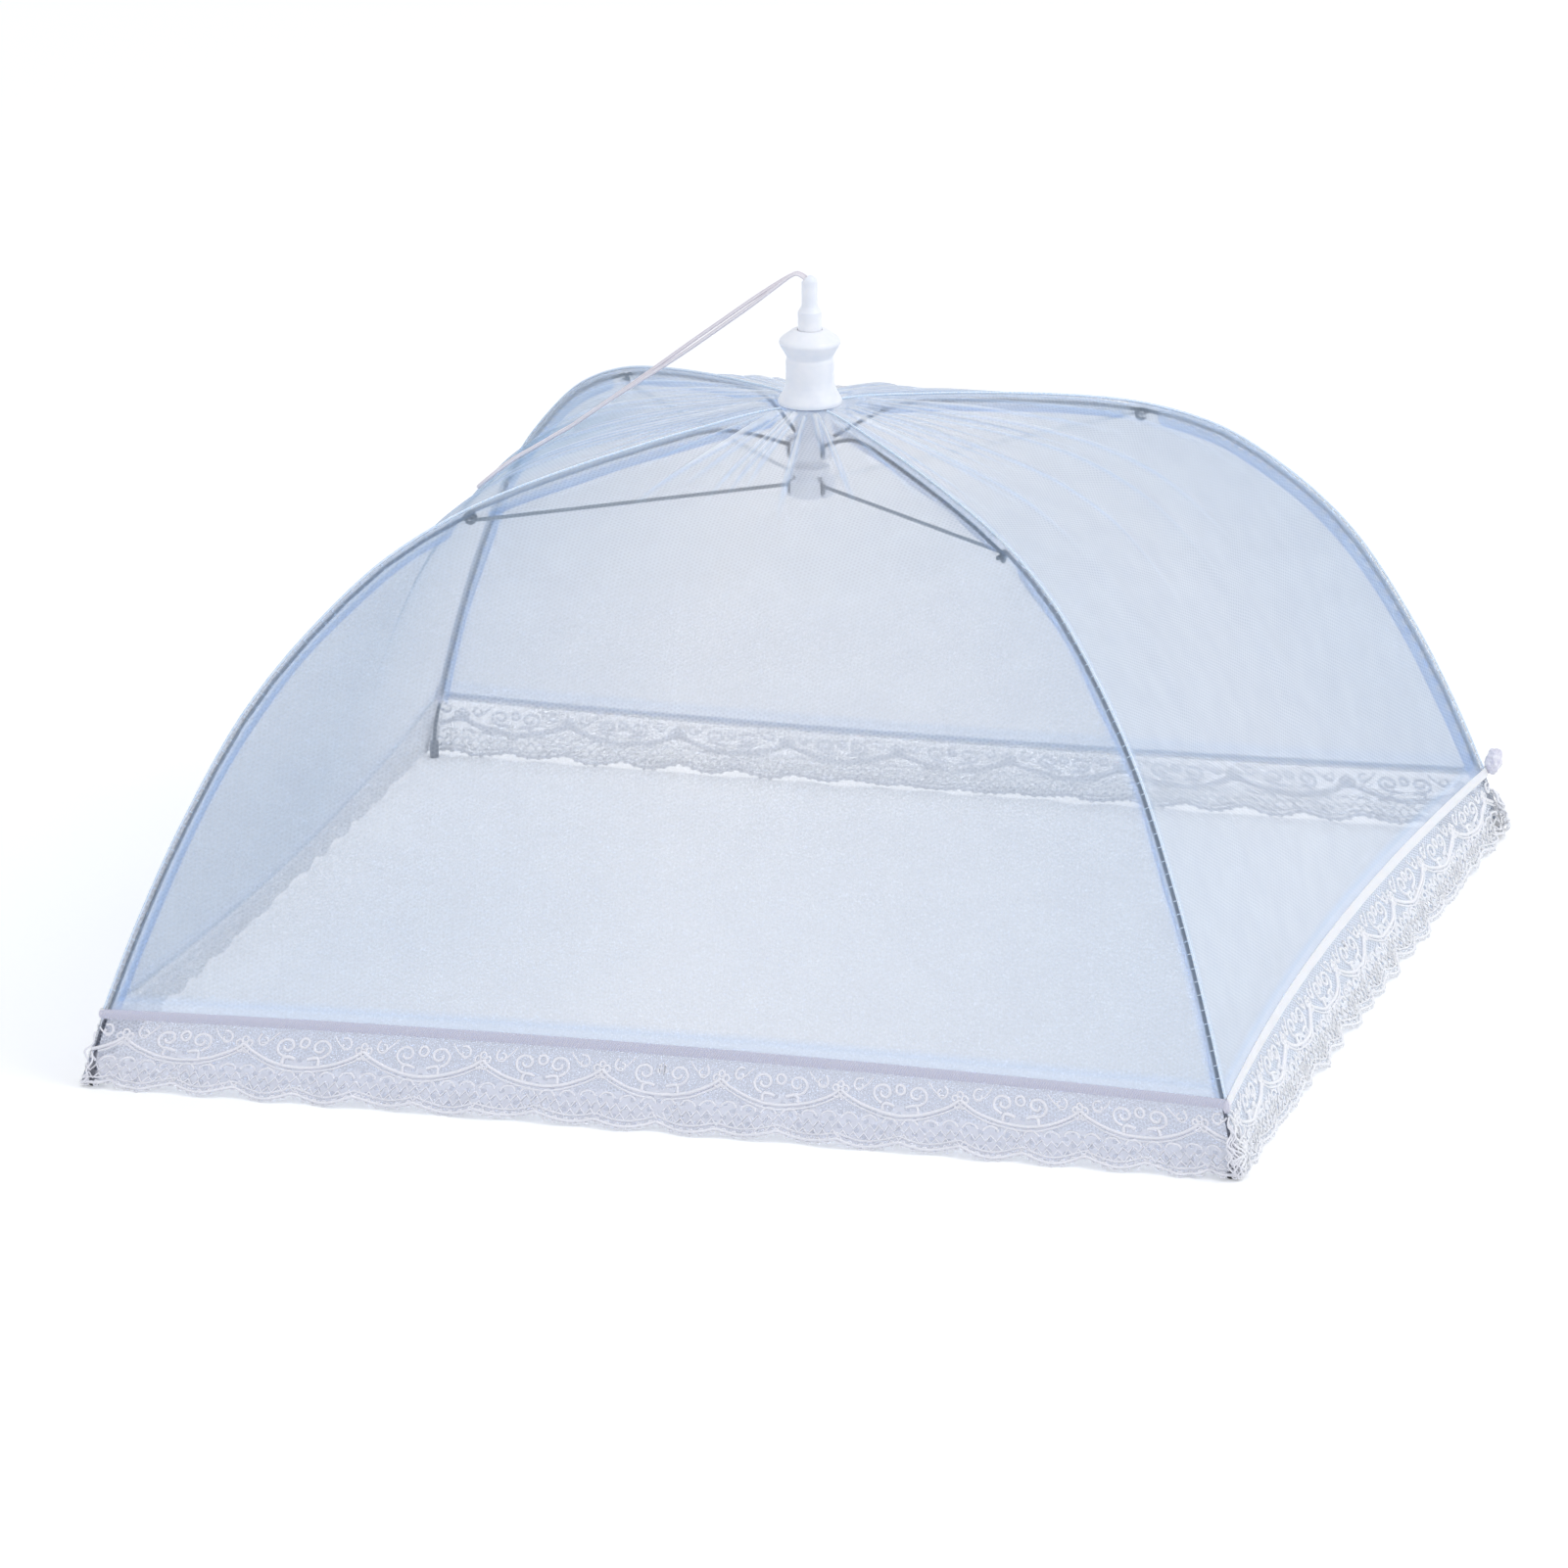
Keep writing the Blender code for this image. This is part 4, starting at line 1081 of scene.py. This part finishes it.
# (x, y, z, half the distance between the two strands, twist in degrees), lengths in millimetres
cord_line = (
    (-0.3, 0.0, 267.3, 1.05, 0),
    (-2.2, 0.0, 269.2, 1.05, 0),
    (-4.7, 0.0, 270.25, 1.05, 0),
    (-7.2, 0.0, 269.3, 1.05, 0),
    (-12.0, 0.1, 265.9, 1.05, 25),
    (-22.0, 0.7, 258.3, 1.10, 70),
    (-34.0, 1.8, 249.1, 1.15, 80),
    (-47.0, 3.1, 239.2, 1.25, 65),
    (-60.0, 4.5, 229.4, 1.20, 40),
    (-72.0, 5.8, 220.6, 1.10, 15),
    (-82.0, 6.8, 213.2, 1.05, 0),
    (-90.0, 7.4, 207.2, 1.05, 0),
    (-97.0, 7.7, 202.1, 1.05, 0),
    (-104.0, 7.7, 197.7, 1.05, 0),
    (-111.0, 7.3, 193.2, 1.10, 0),
    (-118.0, 6.7, 188.9, 1.50, 0),
    (-124.0, 6.0, 184.5, 2.60, 0),
    (-128.0, 5.4, 181.1, 3.20, 0),
    (-131.6, 5.0, 178.0, 2.20, 0),
    (-133.0, 4.8, 176.6, 0.00, 0),
)


def smooth_through(route, steps=6):
    """Places along the smooth curve through a route's points."""
    ends = [2 * route[0] - route[1]] + route + [2 * route[-1] - route[-2]]
    fine = []
    for before, first, second, after in zip(ends, ends[1:], ends[2:], ends[3:]):
        for k in range(steps):
            s = k / steps
            fine.append(
                (
                    2 * first
                    + (second - before) * s
                    + (2 * before - 5 * first + 4 * second - after) * s**2
                    + (3 * first - before - 3 * second + after) * s**3
                )
                / 2
            )
    return fine + [route[-1]]


def pull_cord():
    out, back = [], []
    for x, y, z, spread, twist in cord_line:
        apart = Vector((0, cos(radians(twist)), sin(radians(twist)))) * spread
        out.append((Vector((x, y, z)) + apart) * mm)
        back.append((Vector((x, y, z)) - apart) * mm)
    back = back[-2::-1]
    path = smooth_through(out + back)
    lengths = [0.0]
    for near, far in zip(path, path[1:]):
        lengths.append(lengths[-1] + (far - near).length)
    sides = 12
    bm = bmesh.new()
    uv = bm.loops.layers.uv.new("UVMap")
    made = bmesh.ops.create_grid(bm, x_segments=len(path) - 1, y_segments=sides, size=0.5)["verts"]
    grid = {vert: (round((vert.co.x + 0.5) * (len(path) - 1)), vert.co.y + 0.5) for vert in made}
    for face in bm.faces:
        face.smooth = True
        for loop in face.loops:
            row, around = grid[loop.vert]
            loop[uv].uv = (lengths[row], around)
    frames = []
    normal = Vector((0, 1, 0))
    for k, place in enumerate(path):
        along = (path[min(k + 1, len(path) - 1)] - path[max(k - 1, 0)]).normalized()
        normal = (normal - along * normal.dot(along)).normalized()
        frames.append((place, normal.copy(), along.cross(normal)))
    for vert, (row, around) in grid.items():
        place, side, up = frames[row]
        angle = 2 * pi * around
        vert.co = place + (side * cos(angle) + up * sin(angle)) * cord_width / 2
    bmesh.ops.remove_doubles(bm, verts=bm.verts, dist=0.01 * mm)
    bmesh.ops.holes_fill(bm, edges=bm.edges, sides=sides)
    bmesh.ops.recalc_face_normals(bm, faces=bm.faces)
    piece = new_piece("cord", bm, cotton)
    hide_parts("pull_cord", "cord_start", "cord_finish")
    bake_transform(piece)
    [tuple(place) for place in path]


# Crown cap, rod, runner and notch

slot_width = 2.1 * mm
slot_inner = 5.45 * mm
slot_outer = 10.5 * mm


def cut_away(piece, tool):
    """Takes the tool's shape out of the piece for good."""
    mesh = bpy.data.meshes.new("tool")
    tool.to_mesh(mesh)
    tool.free()
    cutter = add_object("tool", mesh)
    taken = piece.modifiers.new("taken", "BOOLEAN")
    taken.operation = "DIFFERENCE"
    taken.solver = "EXACT"
    taken.object = cutter
    graph = bpy.context.evaluated_depsgraph_get()
    result = bpy.data.meshes.new_from_object(piece.evaluated_get(graph))
    piece.modifiers.clear()
    piece.data = result
    bpy.data.objects.remove(cutter, do_unlink=True)
    piece.data.shade_smooth()
    piece.data.set_sharp_from_angle(angle=sharp_from)


def slots(low, high):
    """Four upright slots, one in each rib's plane."""
    tool = bmesh.new()
    for turn in corners.values():
        size = (slot_outer - slot_inner, slot_width, high - low, 1)
        place = Matrix.Rotation(radians(turn), 4, "Z") @ Matrix.Translation(
            ((slot_inner + slot_outer) / 2, 0, (low + high) / 2)
        )
        bmesh.ops.create_cube(tool, size=1, matrix=place @ Matrix.Diagonal(size))
    return tool


def in_mm(profile):
    return [(radius * mm, height * mm) for radius, height in profile]


def crown_cap():
    profile = [
        (4.8, 248.75), (6.6, 248.75), (11.2, 245.3), (11.7, 244.4), (11.7, 243.55), (8.9, 238.6),
        (8.75, 238.0), (9.15, 236.9), (9.15, 229.2), (9.5, 227.0), (10.4, 224.6), (12.2, 221.4),
        (12.2, 220.05), (5.9, 220.05), (5.9, 240.05), (4.8, 240.05), (4.8, 248.75),
    ]
    piece = turned("cap", rounded(in_mm(profile), 0.6 * mm), white_plastic)
    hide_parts("crown_cap")
    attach(piece, "hub")


def notch():
    profile = [
        (4.8, 239.75), (5.6, 239.75), (5.6, 218.95), (9.0, 218.95), (9.0, 217.45), (5.6, 215.95),
        (5.6, 207.72), (9.5, 206.124), (9.5, 200.024), (8.7, 199.224), (4.8, 199.224), (4.8, 239.75),
    ]
    piece = turned("notch", rounded(in_mm(profile), 0.35 * mm, 2), white_plastic)
    cut_away(piece, slots(198 * mm, 208 * mm))
    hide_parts("rib_notch")
    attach(piece, "hub")


def pull_rod_and_runner():
    profile = [(3.0 * sin(pi / 2 * k / 10), 267.0 + 3.0 * cos(pi / 2 * k / 10)) for k in range(11)]
    profile += [
        (3.0, 258.6), (3.3, 257.6), (4.5, 255.8), (4.5, 195.324), (7.3, 195.324), (7.3, 191.124),
        (8.9, 191.0), (9.5, 190.324), (9.5, 185.024), (8.7, 184.224), (0, 184.224),
    ]
    piece = turned("pull_rod_and_runner", in_mm(profile), white_plastic)
    cut_away(piece, slots(183 * mm, 192.5 * mm))
    # The slanting hole that the cord's two ends are tied through
    hole = Matrix.Translation(cord_exit) @ Matrix.Rotation(-pi / 4, 4, "Y")
    hole = hole @ Matrix.Translation((0, 0, 3.8 * mm))
    wide = 2.0 * mm
    tool = bmesh.new()
    bmesh.ops.create_cone(
        tool, cap_ends=True, segments=32, radius1=wide, radius2=wide, depth=12 * mm, matrix=hole
    )
    cut_away(piece, tool)
    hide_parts("runner")
    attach(piece, "runner_and_rod")


def dress_frame_nodes():
    """Better finishes for the wires and tips that the frame itself shows."""
    for name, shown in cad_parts.items():
        for start, finish in (
            ("rib_tie", tie_wire),
            ("strut_tie", tie_wire),
            ("rib_tip_cap", tip_plastic),
            ("rib_", rib_wire),
            # The back struts take the strut steel with the painted highlight
            ("strut_back", strut_wire_painted_highlight),
            ("strut_", strut_wire),
        ):
            if name.startswith(start):
                shown.material_slots[0].material = finish
                break


# Table and light

light_target = Vector((0, 0, 0.1))
floor_glow = 0.17


def seen_by(tree, *rays):
    """1 for these kinds of ray, and 0 for the rays that light the object."""
    path = node(tree, "LightPath")
    seen = 0.0
    for ray in rays:
        seen = node(tree, "Math", {"operation": "MAXIMUM"}, n0=seen, n1=path.outputs[ray])
    return seen


def light_world():
    """Soft light from all round, which the camera sees as plain white."""
    world = bpy.data.worlds.new("studio")
    world.use_nodes = True
    tree = world.node_tree
    tree.nodes.clear()
    seen = seen_by(tree, "Is Camera Ray", "Is Glossy Ray", "Is Transmission Ray")
    soft = node(tree, "Background", Color="F8FAFF", Strength=0.86)
    white = node(tree, "Background", Color="FFFFFF", Strength=1.0)
    mix = node(tree, "MixShader", n0=seen, n1=soft, n2=white)
    node(tree, "OutputWorld", Surface=mix)
    bpy.context.scene.world = world


def add_lamp(name, place, size, power, colour):
    data = bpy.data.lights.new(name, "AREA")
    data.shape = "DISK"
    data.size = size
    data.energy = power
    data.color = hex_colour(colour)[:3]
    lamp = add_object(name, data)
    lamp.location = place
    lamp.rotation_euler = (light_target - Vector(place)).to_track_quat("-Z", "Y").to_euler()


def add_floor():
    # Matt pale table top. A faint glow, for the camera and for reflections alone, brings it up to the
    # white of the background.
    bm = bmesh.new()
    bmesh.ops.create_grid(bm, x_segments=1, y_segments=1, size=12)
    made, tree, shader = finish_for("pale_table", "F8F9FA", 0.8)
    seen = seen_by(tree, "Is Camera Ray", "Is Glossy Ray")
    strength = node(tree, "Math", {"operation": "MULTIPLY"}, n0=seen, n1=floor_glow)
    glow = node(tree, "Emission", Color="FFFFFF", Strength=strength)
    lit = node(tree, "AddShader", n0=shader, n1=glow)
    feed(tree, tree.nodes["Material Output"], Surface=lit)
    new_piece("floor", bm, made)


pull_cord()
gore_area = sum(
    (near + far) / 2 * cos(pi / 4) * (ridge_run(far) - ridge_run(near))
    for near, far in zip(net_radii, net_radii[1:])
)
for corner in corners:
    net = canopy(corner)
    edging = lace_sheet(corner)
    seam_band(corner)
    seam_thread(corner)
    braid(corner)
    corner_bunch(corner)
    lace_pattern(corner)
    corner_tangle(corner)
crown_cap()
notch()
pull_rod_and_runner()
dress_frame_nodes()
light_world()
add_lamp("key", (1.6, -0.1, 1.8), 1.3, 13, "FFFFFF")
add_lamp("fill", (-0.3, -2.4, 1.6), 1.6, 2, "F6F8FF")
add_floor()

bpy.context.scene.view_settings.view_transform = "Standard"
